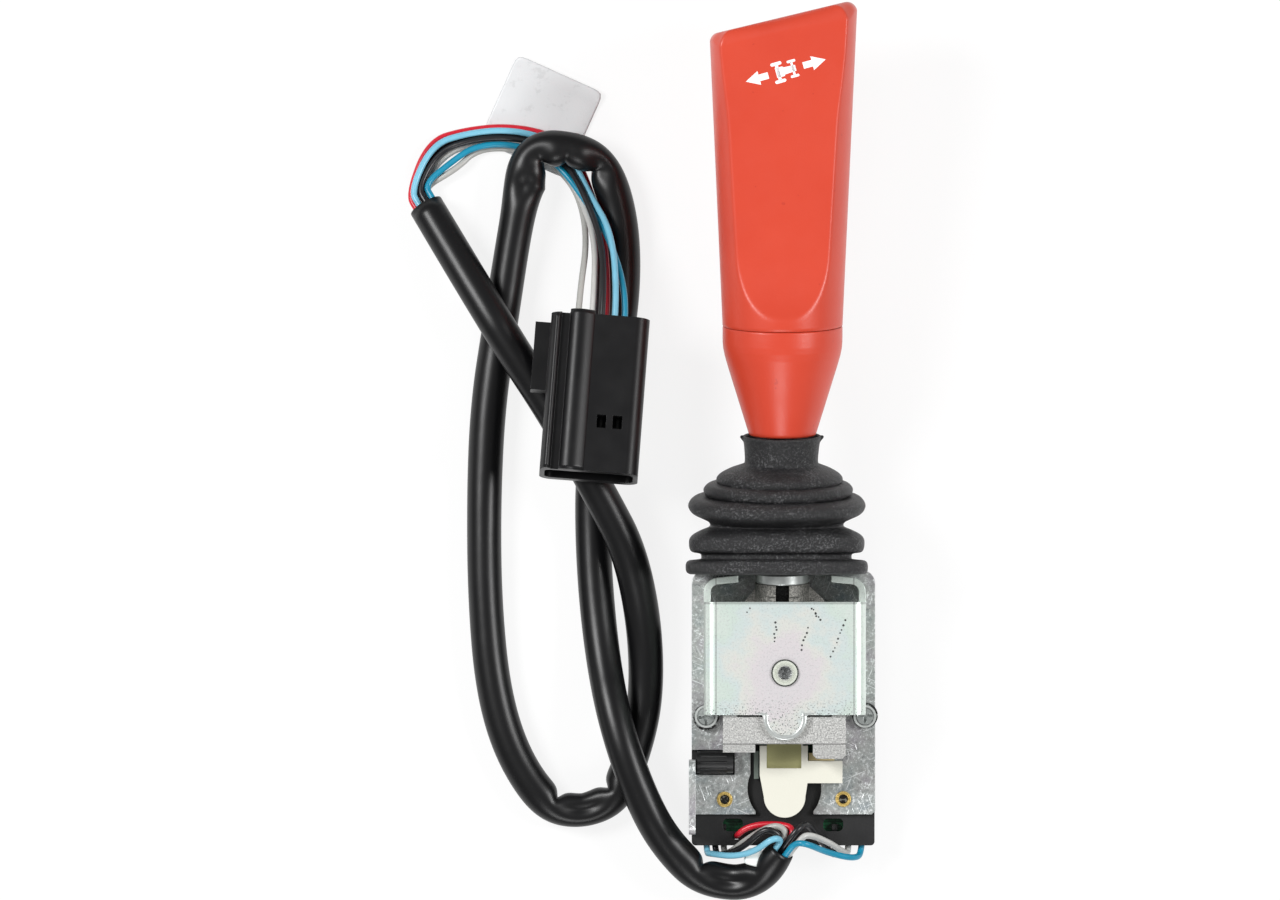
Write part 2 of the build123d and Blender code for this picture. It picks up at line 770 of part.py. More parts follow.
# Lift spring and what the rod pulls against
seat_top = rod_low + 0.3 + circlip_t + seat_t + 0.05
spring_low = seat_top + lift_spring_gap
with BuildPart() as lift_spring:
    spring_start = lever_plane.origin + lever_plane.z_dir * (spring_low + spring_wire_r)
    spring_height = guide_from - spring_low - 2 * spring_wire_r - gap_running
    with BuildLine():
        coil = Helix(spring_pitch, spring_height, 4.95, center=spring_start, direction=lever_dir)
    with BuildSketch(Plane(origin=coil @ 0, z_dir=coil % 0)):
        Circle(spring_wire_r)
    sweep(is_frenet=True)
save(lift_spring.part, "lift_spring")

with BuildPart() as spring_seat:
    with BuildSketch(along(seat_top - seat_t)):
        Circle(seat_r)
        Circle(circlip_groove_r + gap_running, mode=Mode.SUBTRACT)
    extrude(amount=seat_t)
save(spring_seat.part, "spring_seat")

with BuildPart() as rod_circlip:
    with BuildSketch(along(rod_low + 0.3)):
        Circle(circlip_r)
        Circle(circlip_groove_r, mode=Mode.SUBTRACT)
        with Locations((0, -circlip_r)):
            Rectangle(3.0, 2 * circlip_r - 1, mode=Mode.SUBTRACT)
    extrude(amount=circlip_t)
save(rod_circlip.part, "rod_circlip")

with BuildPart() as lever_rod:
    with BuildSketch(along(seat_top)):
        Circle(rod_r)
    extrude(amount=rod_top - seat_top)
    with BuildSketch(along(rod_low + 0.3)):
        Circle(circlip_groove_r)
    extrude(amount=seat_top - rod_low)
    with BuildSketch(along(rod_low - 0.4)):
        Circle(rod_r)
    extrude(amount=0.7)
    with Locations((lever_x, pin_y, pivot_z)):
        Cylinder(pin_r, 6 * rod_r, mode=Mode.SUBTRACT)
save(lever_rod.part, "lever_rod")

with BuildPart() as lift_pin:
    with BuildSketch(Plane.XY.offset(plate_back + 0.3)):
        with Locations((lever_x, pin_y)):
            Circle(pin_r)
    extrude(amount=pivot_z + 3 * math.sin(math.radians(lever_lean)) + 6.0 - plate_back)
save(lift_pin.part, "lift_pin")


# Knob: lower cone, upper paddle, the threaded insert and the screw between them
with BuildPart() as knob_lower:
    with BuildSketch(along(cone_low)):
        Circle(cone_low_r)
    with BuildSketch(along(cone_high)):
        Circle(knob_low_r)
    loft()
    with BuildSketch(along(cone_high)):
        Circle(knob_low_r)
    extrude(amount=knob_split - knob_seam - cone_high)
    with BuildSketch(along(spigot_low)):
        Circle(spigot_r)
    extrude(amount=cone_low - spigot_low)
    with BuildSketch(along(spigot_low)):
        Circle(rod_r + gap_running)
    extrude(amount=insert_low - spigot_low, mode=Mode.SUBTRACT)
    with BuildSketch(along(insert_low)):
        Circle(insert_r)
    extrude(amount=knob_split - insert_low + 1, mode=Mode.SUBTRACT)
save(knob_lower.part, "knob_lower")

with BuildPart() as knob_insert:
    with BuildSketch(along(insert_low)):
        Circle(insert_r)
        Circle(thread_r, mode=Mode.SUBTRACT)
    extrude(amount=insert_high - insert_low)
save(knob_insert.part, "knob_insert")

facet_plane = Plane(origin=(lever_x, 0, pivot_z), x_dir=lever_dir, z_dir=(1, 0, 0))
facet_centre_w = knob_facet + facet_r
facet_mid = (facet_foot + facet_tangent) / 2


def facet_w(s):
    return facet_centre_w - math.sqrt(facet_r**2 - (facet_tangent - s) ** 2)


top_run = math.tan(math.radians(knob_top_slope))
with BuildPart() as knob_upper:
    with BuildSketch(along(knob_split)):
        Circle(knob_low_r)
    with BuildSketch(along(knob_high)):
        Circle(knob_high_r)
    loft()
    for side in (1, -1):
        with BuildSketch(facet_plane.offset(-30)):
            with BuildLine():
                ThreePointArc(
                    (facet_foot, side * facet_w(facet_foot)),
                    (facet_mid, side * facet_w(facet_mid)),
                    (facet_tangent, side * knob_facet),
                )
                Polyline(
                    (facet_tangent, side * knob_facet),
                    (knob_high + 5, side * knob_facet),
                    (knob_high + 5, side * 40),
                    (facet_foot, side * 40),
                    (facet_foot, side * facet_w(facet_foot)),
                )
            make_face()
        extrude(amount=60, mode=Mode.SUBTRACT)
    with BuildSketch(Plane(origin=(lever_x, 0, pivot_z), x_dir=(1, 0, 0), z_dir=(0, -lever_dir[2], lever_dir[1])).offset(-30)):
        with BuildLine():
            Polyline(
                (-35, knob_top_mid - 35 * top_run),
                (35, knob_top_mid + 35 * top_run),
                (35, knob_high + 10),
                (-35, knob_high + 10),
                close=True,
            )
        make_face()
    extrude(amount=60, mode=Mode.SUBTRACT)
    top_face = knob_upper.faces().sort_by(Axis(origin=(0, 0, 0), direction=lever_dir))[-1]
    fillet(top_face.edges(), radius=knob_edge)
    with BuildSketch(along(knob_split)):
        Circle(screw_head_r + 1.5)
    extrude(amount=knob_hollow_low - knob_split, mode=Mode.SUBTRACT)
    with BuildSketch(along(knob_hollow_low)):
        Rectangle(2 * knob_hollow_half, 2 * knob_hollow_depth)
    extrude(amount=knob_hollow_high - knob_hollow_low, mode=Mode.SUBTRACT)
save(knob_upper.part, "knob_upper")

with BuildPart() as knob_screw:
    with BuildSketch(along(rod_top + 0.4)):
        Circle(screw_head_r)
    extrude(amount=knob_split + 4 - rod_top)
    with BuildSketch(along(knob_split + 4 + 0.4)):
        Circle(insert_r - 0.6)
    extrude(amount=1.6)
save(knob_screw.part, "knob_screw")


# Boot
with BuildPart() as boot:
    for low, high, half_x, half_z, corner in boot_levels:
        with BuildSketch(Plane.XZ.offset(-high)):
            with Locations((boot_x, boot_z)):
                RectangleRounded(2 * half_x, 2 * half_z, corner)
        extrude(amount=high - low)
    for low, high, radius, centre_x in ring_levels:
        ring_plane = Plane(
            origin=(centre_x, 0, pivot_z), x_dir=(1, 0, 0), z_dir=(0, -lever_dir[2], lever_dir[1])
        )
        with BuildSketch(ring_plane):
            with BuildLine():
                Polyline(
                    (0, low - ring_tuck),
                    (radius - ring_crease, low - ring_tuck),
                    (radius - ring_crease, low + ring_tuck / 2),
                    (radius - ring_round / 2, low + ring_tuck / 2),
                    (radius, low + ring_tuck / 2 + ring_round),
                    (radius, high - ring_tuck / 2 - ring_round),
                    (radius - ring_round / 2, high - ring_tuck / 2),
                    (radius - ring_crease, high - ring_tuck / 2),
                    (radius - ring_crease, high + ring_tuck),
                    (0, high + ring_tuck),
                    close=True,
                )
            make_face()
        revolve(axis=Axis((centre_x, 0, pivot_z), lever_dir))
    with BuildSketch(along(neck_base - 2)):
        Circle(neck_r)
    extrude(amount=neck_flare - neck_base + 2)
    with BuildSketch(along(neck_flare)):
        Circle(neck_r)
    with BuildSketch(along(neck_top)):
        Circle(neck_top_r)
    loft()
    with BuildSketch(Plane.XZ.offset(-boot_inner_top)):
        with Locations((boot_x, boot_z)):
            RectangleRounded(2 * boot_inner_half_x, 2 * boot_inner_half_z, boot_inner_corner)
    extrude(amount=boot_inner_top - boot_levels[0][0] + 1, mode=Mode.SUBTRACT)
    with BuildSketch(along(boot_inner_top - 2)):
        Circle(ring_inner_r)
    extrude(amount=ring_levels[-1][1] - boot_inner_top - 0.4, mode=Mode.SUBTRACT)
    with BuildSketch(along(neck_base - neck_lap)):
        Circle(neck_bore_r)
    extrude(amount=neck_top - neck_base + neck_lap, mode=Mode.SUBTRACT)
    with BuildSketch(along(neck_mouth_from)):
        Circle(neck_mouth_r)
    extrude(amount=neck_lap, mode=Mode.SUBTRACT)
    cut_between(
        (plate_left - 3, boot_levels[0][0] - 1, plate_back - gap_soft),
        (plate_right + 3, plate_top + gap_soft, plate_front + gap_soft),
    )
save(boot.part, "boot")


# Rear housing, cover, board and what stands on it
with BuildPart() as rear_housing:
    box_between((plate_left, housing_bottom, 0), (housing_right, housing_top, plate_back))
    side_edges = rear_housing.edges().filter_by(Axis.Z)
    fillet(side_edges, radius=housing_corner)
    cut_between(
        (plate_left + housing_wall, housing_bottom + housing_wall, -1),
        (housing_right - housing_wall, housing_top - housing_wall, plate_back - housing_wall),
    )
    for side in (-1, 1):
        with Locations((side * post_x, post_y, (board_z + board_t + plate_back) / 2)):
            Cylinder(post_r, plate_back - board_z - board_t)
    with Locations((0, 0, plate_back)):
        Cylinder(washer_r + gap_soft, 4 * housing_wall, mode=Mode.SUBTRACT)
    for side in (-1, 1):
        with Locations((side * (body_right - body_cheek / 2), rear_screw_y, plate_back)):
            Cylinder(rear_head_r + gap_soft, 4 * housing_wall, mode=Mode.SUBTRACT)
    for x, y in pan_centres:
        boss_back = board_z + board_t + gap_soft
        with Locations((x, y, (boss_back + plate_back) / 2)):
            Cylinder(pan_boss_r, plate_back - boss_back)
        with Locations((x, y, plate_back)):
            Cylinder(pan_shank_r, 2 * (plate_back - boss_back), mode=Mode.SUBTRACT)
    for x in window_xs:
        with BuildSketch(Plane.XY.offset(plate_back - 2 * housing_wall)):
            with Locations((x, window_y)):
                RectangleRounded(2 * window_half_x, 2 * window_half_y, 1.4)
        extrude(amount=3 * housing_wall, mode=Mode.SUBTRACT)
    cut_between(
        (look_left, look_bottom, plate_back - 2 * housing_wall),
        (look_right, look_top, plate_back + 1),
    )
    for x in wire_exits:
        with Locations(Location((x, housing_bottom, wire_exit_z), (90, 0, 0))):
            Cylinder(wire_hole_r, 4 * housing_wall, mode=Mode.SUBTRACT)
    with Locations((red_exit_x, red_exit_y, plate_back)):
        Cylinder(red_hole_r, 4 * housing_wall, mode=Mode.SUBTRACT)
    for x, y in eyelet_centres:
        with Locations((x, y, plate_back)):
            Cylinder(eyelet_barrel_r, 4 * housing_wall, mode=Mode.SUBTRACT)
        with Locations((x, y, plate_back - housing_wall - eyelet_flange / 2)):
            Cylinder(eyelet_r, eyelet_flange, mode=Mode.SUBTRACT)
save(rear_housing.part, "rear_housing")

with BuildPart() as rear_cover:
    edge = housing_wall + cover_gap
    box_between(
        (plate_left + edge, housing_bottom + edge, 0),
        (housing_right - edge, housing_top - edge, cover_t),
    )
    for side in (-1, 1):
        with Locations((side * post_x, post_y, cover_t + (board_z - cover_t) / 2)):
            Cylinder(post_r, board_z - cover_t)
save(rear_cover.part, "rear_cover")

with BuildPart() as circuit_board:
    edge = housing_wall + board_edge
    box_between(
        (plate_left + edge, housing_bottom + edge, board_z),
        (housing_right - edge, board_top, board_z + board_t),
    )
    for side in (-1, 1):
        with Locations((side * post_x, post_y, board_z)):
            Cylinder(post_bore_r, 4 * board_t, mode=Mode.SUBTRACT)
save(circuit_board.part, "circuit_board")

with BuildPart() as position_sensors:
    for x in sensor_xs:
        with Locations((x, sensor_y, board_z + board_t + sensor_size[2] / 2)):
            Box(*sensor_size)
save(position_sensors.part, "position_sensors")

with BuildPart() as solder_terminals:
    for x in wire_exits:
        with Locations((x, terminal_y + terminal_r, board_z + board_t + terminal_h / 2 + 0.4)):
            Box(2 * terminal_r, 2 * terminal_r, terminal_h + 0.8)
save(solder_terminals.part, "solder_terminals")

with BuildPart() as eyelet_rivets:
    for x, y in eyelet_centres:
        for level in (plate_back - housing_wall - eyelet_flange, plate_front):
            with BuildSketch(Plane.XY.offset(level)):
                with Locations((x, y)):
                    Circle(eyelet_r)
                    Circle(eyelet_hole_r, mode=Mode.SUBTRACT)
            extrude(amount=eyelet_flange)
        with BuildSketch(Plane.XY.offset(plate_back - housing_wall)):
            with Locations((x, y)):
                Circle(eyelet_barrel_r)
                Circle(eyelet_hole_r, mode=Mode.SUBTRACT)
        extrude(amount=sheet + housing_wall)
save(eyelet_rivets.part, "eyelet_rivets")

with BuildPart() as pan_screws:
    for x, y in pan_centres:
        with BuildSketch(Plane.XY.offset(plate_front)):
            with Locations((x, y)):
                Circle(pan_r)
        extrude(amount=pan_h)
        with BuildSketch(Plane.XY.offset(plate_back - pan_depth)):
            with Locations((x, y)):
                Circle(pan_shank_r)
        extrude(amount=pan_depth + sheet)
        for size in ((2 * pan_cross, pan_cross_w), (pan_cross_w, 2 * pan_cross)):
            with BuildSketch(Plane.XY.offset(plate_front + pan_h - pan_cross_d)):
                with Locations((x, y)):
                    Rectangle(*size)
            extrude(amount=pan_cross_d, mode=Mode.SUBTRACT)
save(pan_screws.part, "pan_screws")


# Actuator, its insert and the magnet the sensors read
with BuildPart() as actuator:
    with BuildSketch(Plane.XY.offset(act_back)):
        with BuildLine():
            Polyline(
                (act_left, pocket_top - 2),
                (act_left, act_taper_y),
                (-act_round_r + 0.1, act_round_y - 0.6),
                (act_round_r - 0.1, act_round_y - 0.6),
                (act_right, act_taper_y - 1.5),
                (act_right, pocket_top - 2),
                close=True,
            )
        make_face()
        with Locations((0, act_round_y)):
            Circle(act_round_r)
        with Locations(((act_right + act_arm_right) / 2 - 1, (act_arm_top + act_arm_bottom) / 2)):
            Rectangle(act_arm_right - act_right + 2, act_arm_top - act_arm_bottom)
        with Locations((0, (act_top + pocket_top) / 2 - 2)):
            Rectangle(2 * act_neck_half, act_top - pocket_top + 4)
    extrude(amount=act_front - act_back)
    cut_between(
        (pocket_left, pocket_bottom, act_front - pocket_depth), (pocket_right, pocket_top - 1, act_front + 1)
    )
    with Locations((0, magnet_y, act_back)):
        Cylinder(magnet_r, 2 * magnet_h, mode=Mode.SUBTRACT)
    with Locations((0, plunger_y, act_back)):
        Cylinder(plunger_r + gap_running, 40, mode=Mode.SUBTRACT)
save(actuator.part, "actuator")

with BuildPart() as actuator_block:
    box_between(
        (pocket_left, pocket_bottom, act_front - pocket_depth),
        (pocket_right, pocket_top - 1, act_front - insert_drop),
    )
save(actuator_block.part, "actuator_block")

with BuildPart() as sensor_magnet:
    with BuildSketch(Plane.XY.offset(act_back)):
        with Locations((0, magnet_y)):
            Circle(magnet_r)
    extrude(amount=magnet_h)
save(sensor_magnet.part, "sensor_magnet")

tip_centre = plate_front + plunger_clear + plunger_r
with BuildPart() as detent_plunger:
    with Locations((0, plunger_y, tip_centre)):
        Sphere(plunger_r)
    with BuildSketch(Plane.XY.offset(tip_centre)):
        with Locations((0, plunger_y)):
            Circle(plunger_r)
    extrude(amount=plunger_tail)
save(detent_plunger.part, "detent_plunger")

with BuildPart() as detent_spring:
    with BuildSketch(Plane.XY.offset(tip_centre + plunger_tail + 0.05)):
        with Locations((0, plunger_y)):
            Circle(detent_spring_r)
            Circle(detent_spring_r / 2, mode=Mode.SUBTRACT)
    extrude(amount=detent_bore_top - tip_centre - plunger_tail - 0.1)
save(detent_spring.part, "detent_spring")


# Small guides and the ribbed latch roller beside the actuator
with BuildPart() as guide_grey:
    box_between(grey_guide[::2], grey_guide[1::2])
save(guide_grey.part, "guide_grey")

with BuildPart() as guide_tan:
    box_between(tan_guide[::2], tan_guide[1::2])
save(guide_tan.part, "guide_tan")

with BuildPart() as latch_roller:
    with BuildSketch(Plane.YZ.offset(latch_left)):
        with Locations((latch_y, latch_z)):
            Circle(latch_r)
    extrude(amount=latch_right - latch_left)
    for k in range(latch_ribs):
        a = math.radians(20 + 140 * k / (latch_ribs - 1))
        spot = (latch_y + latch_r * math.cos(a), latch_z + latch_r * math.sin(a))
        with BuildSketch(Plane.YZ.offset(latch_left + 1)):
            with Locations(spot):
                Circle(latch_rib)
        extrude(amount=latch_right - latch_left - 3)
save(latch_roller.part, "latch_roller")


# Connector
turn = math.radians(connector_turn)
rise = math.radians(connector_rise)
conn_x = (math.cos(turn), -math.sin(turn), 0)
conn_z = (
    -math.sin(turn) * math.cos(rise),
    -math.cos(turn) * math.cos(rise),
    math.sin(rise),
)
conn_plane = Plane(origin=connector_at, x_dir=conn_x, z_dir=conn_z)

with BuildPart() as connector_shell:
    with BuildSketch(conn_plane):
        RectangleRounded(2 * conn_half_w, 2 * conn_half_t, conn_corner)
    extrude(amount=conn_length)
    with BuildSketch(conn_plane):
        with Locations((groove_u, conn_half_t)):
            Rectangle(2 * groove_half, 2 * groove_depth)
    extrude(amount=conn_length, mode=Mode.SUBTRACT)
    with BuildSketch(conn_plane.offset(rail_from)):
        with Locations((-conn_half_w - rail_w / 2 + 1, 1)):
            Rectangle(rail_w + 2, rail_t)
    extrude(amount=rail_to - rail_from)
    inner_w = conn_half_w - conn_wall
    inner_t = conn_half_t - groove_depth - conn_wall
    with BuildSketch(conn_plane):
        RectangleRounded(2 * inner_w, 2 * inner_t, conn_corner - conn_wall)
    extrude(amount=conn_length, mode=Mode.SUBTRACT)
    for u in latch_us:
        with BuildSketch(conn_plane.offset(latch_a)):
            with Locations((u, conn_half_t)):
                Rectangle(2 * latch_half, 4 * conn_wall + 2 * groove_depth)
        extrude(amount=latch_len, mode=Mode.SUBTRACT)
save(connector_shell.part, "connector_shell")

with BuildPart() as connector_insert:
    with BuildSketch(conn_plane):
        RectangleRounded(2 * inner_w, 2 * inner_t, conn_corner - conn_wall)
    extrude(amount=conn_length - conn_cavity_depth)
save(connector_insert.part, "connector_insert")

with BuildPart() as connector_pins:
    for u in pin_columns:
        for v in pin_rows:
            with BuildSketch(conn_plane.offset(conn_length - conn_cavity_depth)):
                with Locations((u, v)):
                    Rectangle(pin_blade_w, pin_blade_t)
            extrude(amount=pin_blade_len)
save(connector_pins.part, "connector_pins")


# Cords: straight runs joined by tangent arcs
def corner_radii(points):
    radii = []
    for a, b, c in zip(points, points[1:], points[2:]):
        first = Vector(*b) - Vector(*a)
        second = Vector(*c) - Vector(*b)
        half = math.radians(first.get_angle(second)) / 2
        radii.append(corner_share * min(first.length, second.length) / math.tan(half))
    return radii


def cord(points, radius, label):
    radii = corner_radii(points)
    with BuildPart() as tube:
        with BuildLine() as path:
            FilletPolyline(*points, radius=radii)
        with BuildSketch(Plane(origin=path.line @ 0, z_dir=path.line % 0)):
            Circle(radius)
        sweep()
    length = path.wires()[0].length
    wanted = math.pi * radius**2 * length
    print(label, "length", round(length, 1), "smallest bend", round(min(radii), 2), end=" ")
    print("volume share", round(tube.part.volume / wanted, 4))
    save(tube.part, label)


cord(sleeve_route, sleeve_r, "harness_sleeve")
for label, route in wire_routes.items():
    cord(route, wire_r, label)


# Label and cable tie
with BuildPart() as wire_label:
    with BuildSketch(Plane.XY.offset(label_z)):
        with Locations(Location((label_centre[0], label_centre[1], 0), (0, 0, label_angle))):
            RectangleRounded(label_w, label_h, label_corner)
    extrude(amount=label_t)
save(wire_label.part, "wire_label")

first_run = Vector(*sleeve_route[1]) - Vector(*sleeve_route[0])
first_dir = first_run.normalized()
tie_origin = Vector(*sleeve_route[0]) + first_dir * tie_at
tie_plane = Plane(origin=tie_origin, z_dir=first_dir)
with BuildPart() as cable_tie:
    with BuildSketch(tie_plane):
        Circle(sleeve_r + tie_inner_gap + tie_t)
        Circle(sleeve_r + tie_inner_gap, mode=Mode.SUBTRACT)
    extrude(amount=tie_w)
save(cable_tie.part, "cable_tie")
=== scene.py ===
# %% [markdown]
# # A direction lever switch, dressed for its portrait
# The packed model arrives as a fixed frame: steel, castings, housings and joints are already
# true to size. This lesson adds what light needs: a rubber boot with real folds, a moulded
# paddle knob, a sleeve that creases where it bends, coloured wires, and a finish for each
# metal and plastic. Everything is in metres and stays where the frame puts it.

# %% The packed frame
import bpy
import bmesh
import math
import numpy as np
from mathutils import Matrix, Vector


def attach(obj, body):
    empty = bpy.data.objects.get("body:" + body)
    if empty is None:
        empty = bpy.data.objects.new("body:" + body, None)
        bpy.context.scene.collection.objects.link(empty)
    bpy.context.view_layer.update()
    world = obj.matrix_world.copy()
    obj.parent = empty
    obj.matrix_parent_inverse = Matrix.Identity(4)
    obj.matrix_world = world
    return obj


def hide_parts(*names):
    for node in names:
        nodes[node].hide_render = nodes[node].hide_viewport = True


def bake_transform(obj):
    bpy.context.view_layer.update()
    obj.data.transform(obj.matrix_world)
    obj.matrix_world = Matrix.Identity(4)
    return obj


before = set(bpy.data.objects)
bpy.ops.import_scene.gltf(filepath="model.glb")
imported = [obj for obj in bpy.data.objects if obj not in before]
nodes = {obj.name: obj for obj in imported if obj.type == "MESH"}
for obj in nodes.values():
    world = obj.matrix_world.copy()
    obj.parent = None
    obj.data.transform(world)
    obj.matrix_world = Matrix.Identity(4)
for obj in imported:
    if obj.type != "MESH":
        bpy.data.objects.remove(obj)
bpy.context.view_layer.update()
MM = 0.001


def add(name, data):
    """A new object at the origin, linked into the scene."""
    made = bpy.data.objects.new(name, data)
    bpy.context.scene.collection.objects.link(made)
    return made


print("pieces in the frame:", len(nodes))

# %% [markdown]
# ## The camera
# The portrait was taken from straight above with a long lens, the knob pointing up the
# picture. A camera 6 m over the plane of the metal cover, looking down, gives almost no
# perspective, and a field 384 mm wide gives the same size on the picture.

# %% Camera
LENS_PLANE = 36 * MM
DISTANCE = 6.0
FIELD = 0.384
CENTRE = (-43.5 * MM, 66.9 * MM)
SENSOR = 36
camera = add("portrait_camera", bpy.data.cameras.new("portrait_camera"))
camera.data.sensor_width = SENSOR
camera.data.lens = SENSOR * DISTANCE / FIELD
camera.location = (CENTRE[0], CENTRE[1], LENS_PLANE + DISTANCE)
camera.data.clip_end = 30
bpy.context.scene.camera = camera
bpy.context.scene.view_settings.view_transform = "Standard"
print("lens", round(camera.data.lens, 1), "mm")

# %% [markdown]
# ## Shader sums written as Python
# A finish is easier to read as a formula. One small class wraps an output socket and turns
# +, -, * and / into Math nodes. A second one holds a material and adds every other node.

# %% Sockets that can be added and multiplied
def _sum(operation, flipped=False):
    """A method that joins two values with one Math node; flipped, the other comes first."""
    def method(self, other):
        pair = [other, self] if flipped else [self, other]
        return self.finish.node("Math", pair, operation=operation)

    return method


class Level:
    """One varying number in a material: sums of it become Math nodes."""

    def __init__(self, finish, socket):
        self.finish, self.socket = finish, socket

    __add__, __radd__ = _sum("ADD"), _sum("ADD", True)
    __sub__, __rsub__ = _sum("SUBTRACT"), _sum("SUBTRACT", True)
    __mul__, __rmul__ = _sum("MULTIPLY"), _sum("MULTIPLY", True)
    __truediv__ = _sum("DIVIDE")

    def above(self, edge, soft):
        """0 under edge, 1 over edge + soft, a smooth step between."""
        return self.finish.node(
            "MapRange", {"Value": self, "From Min": edge, "From Max": edge + soft},
            interpolation_type="SMOOTHSTEP",
        )


def rgb(colour):
    """Three parts of a colour, or of a grey given as one number."""
    return colour if isinstance(colour, tuple) else (colour,) * 3


class Finish:
    """A material with one Principled shader and one way to add a node."""

    round_edge = 0.0

    def __init__(self, name, **constants):
        self.material = bpy.data.materials.new(name)
        self.material.use_nodes = True
        self.tree = self.material.node_tree
        self.shader = self.tree.nodes["Principled BSDF"]
        for key, value in constants.items():
            self.shader.inputs[key.replace("_", " ")].default_value = value
        self.place = self.node("TexCoord", out="Object")

    def put(self, socket, value):
        """Links a Level to a socket, or sets the socket's constant."""
        if isinstance(value, Level):
            self.tree.links.new(value.socket, socket)
        elif socket.type == "RGBA":
            socket.default_value = (*rgb(value), 1)
        else:
            socket.default_value = value

    def node(self, kind, inputs=(), out=0, **settings):
        """Adds one node: settings first, then the values or links of its sockets."""
        made = self.tree.nodes.new("ShaderNode" + kind)
        for key, value in settings.items():
            setattr(made, key, value)
        pairs = inputs.items() if isinstance(inputs, dict) else enumerate(inputs)
        for key, value in pairs:
            self.put(made.inputs[key], value)
        return Level(self, made.outputs[out])

    def noise(self, size, detail=3, rough=0.5, seed=0.0):
        """Soft noise whose blotches are about size metres across; seed shifts them."""
        place = self.place
        if seed:
            shift = (seed, seed * 0.7, seed * 0.3)
            place = self.node("Mapping", {"Vector": place, "Location": shift})
        return self.node(
            "TexNoise", {"Vector": place, "Scale": 1 / size, "Detail": detail, "Roughness": rough}
        )

    def mix(self, share, first, second):
        """first * (1 - share) + second * share."""
        return self.node("Mix", {0: share, 6: first, 7: second}, out=2, data_type="RGBA")

    def ramp(self, level, stops):
        """Colours at given places of level, blended between."""
        made = self.node("ValToRGB", {"Fac": level})
        elements = made.socket.node.color_ramp.elements
        while len(elements) < len(stops):
            elements.new(0.5)
        for element, (at, colour) in zip(elements, stops):
            element.position = at
            element.color = (*rgb(colour), 1)
        return made

    def bump(self, height, depth):
        """Relief whose highest point stands depth metres over its lowest."""
        inputs = {"Height": height, "Distance": depth}
        if self.round_edge:
            inputs["Normal"] = self.node("Bevel", {"Radius": self.round_edge})
        self.put(self.shader.inputs["Normal"], self.node("Bump", inputs))
        return self

    def colour(self, value):
        self.put(self.shader.inputs["Base Color"], value)
        return self

    def shades(self, share, first, second):
        """The colour goes from first to second as share rises."""
        return self.colour(self.mix(share, first, second))

    def roughness(self, value):
        self.put(self.shader.inputs["Roughness"], value)
        return self


def dress(finish, *names):
    """Gives one finish to CAD nodes, named, or to new pieces."""
    for name in names:
        piece = nodes[name] if isinstance(name, str) else name
        piece.data.materials.clear()
        piece.data.materials.append(finish.material)


def settle(piece, finish, body, slot, *stands_for):
    """Dresses a new piece, lets it ride on a body, and hides what it replaces; slot is not used.
    """
    dress(finish, piece)
    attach(piece, body)
    if stands_for:
        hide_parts(*stands_for)


print("shader helpers ready")

# %% [markdown]
# ## Surfaces from grids
# Most new pieces are one function of two numbers, worked out for a whole grid of points at
# once. The helper turns such a grid into a closed mesh: it joins neighbours into quads,
# wraps the directions that close on themselves, and welds the points that meet at a pole.

# %% Grid to mesh
def grid_piece(name, grid, wrap_rows=False):
    """A smooth mesh from grid[row, column] = (x, y, z): each cell's four corners make a quad,
    columns close on themselves, and rows do where wrap_rows is set."""
    rows, columns = grid.shape[:2]
    index = np.arange(rows * columns).reshape(rows, columns)
    down = np.roll(index, -1, 0)
    across = np.roll(index, -1, 1)
    both = np.roll(down, -1, 1)
    quads = np.stack([index, across, both, down], -1)
    quads = quads[: rows if wrap_rows else rows - 1]
    mesh = bpy.data.meshes.new(name)
    mesh.from_pydata(grid.reshape(-1, 3).tolist(), [], quads.reshape(-1, 4).tolist())
    work = bmesh.new()
    work.from_mesh(mesh)
    bmesh.ops.remove_doubles(work, verts=work.verts, dist=1e-7)
    bmesh.ops.recalc_face_normals(work, faces=work.faces)
    work.to_mesh(mesh)
    work.free()
    mesh.polygons.foreach_set("use_smooth", np.ones(len(mesh.polygons), bool))
    print(name, len(mesh.polygons), "faces")
    return add(name, mesh)


def smooth_step(low, high, x):
    """0 below low, 1 above high, 3t^2 - 2t^3 between."""
    t = np.clip((x - low) / (high - low), 0, 1)
    return t * t * (3 - 2 * t)


def circle(count):
    """count angles around a full turn."""
    return np.linspace(0, 2 * np.pi, count, endpoint=False)


def unit(vectors):
    """Each vector divided by its length."""
    return vectors / np.linalg.norm(vectors, axis=-1)[..., None]


def turned(p, q, turn, middle):
    """(p, q) turned by an angle about the origin, which is then moved to middle."""
    return (middle[0] + p * math.cos(turn) - q * math.sin(turn),
            middle[1] + p * math.sin(turn) + q * math.cos(turn))


def placed(base, axes, *parts):
    """base + each part times its axis: millimetres along the axes to metres in the frame."""
    pairs = zip(np.broadcast_arrays(*parts), np.array(axes))
    return sum((part[..., None] * axis for part, axis in pairs), np.array(base)) * MM


def capped(rings, ends=None):
    """Rings closed by a point at each end: given ones, or the middles of the end rings."""
    first, last = rings[[0, -1]].mean(1) if ends is None else ends
    spread = np.ones((1, rings.shape[1], 1))
    return np.concatenate([first * spread, rings, last * spread])


print("half way up a smooth step:", smooth_step(0, 2, 1))

# %% [markdown]
# ## Plastics and wire insulation
# Insulation is glossy and evenly coloured, with a faint cloudiness from handling. The
# sleeve over it is soft black tube: glossy too, with long shallow waves and fine dust.

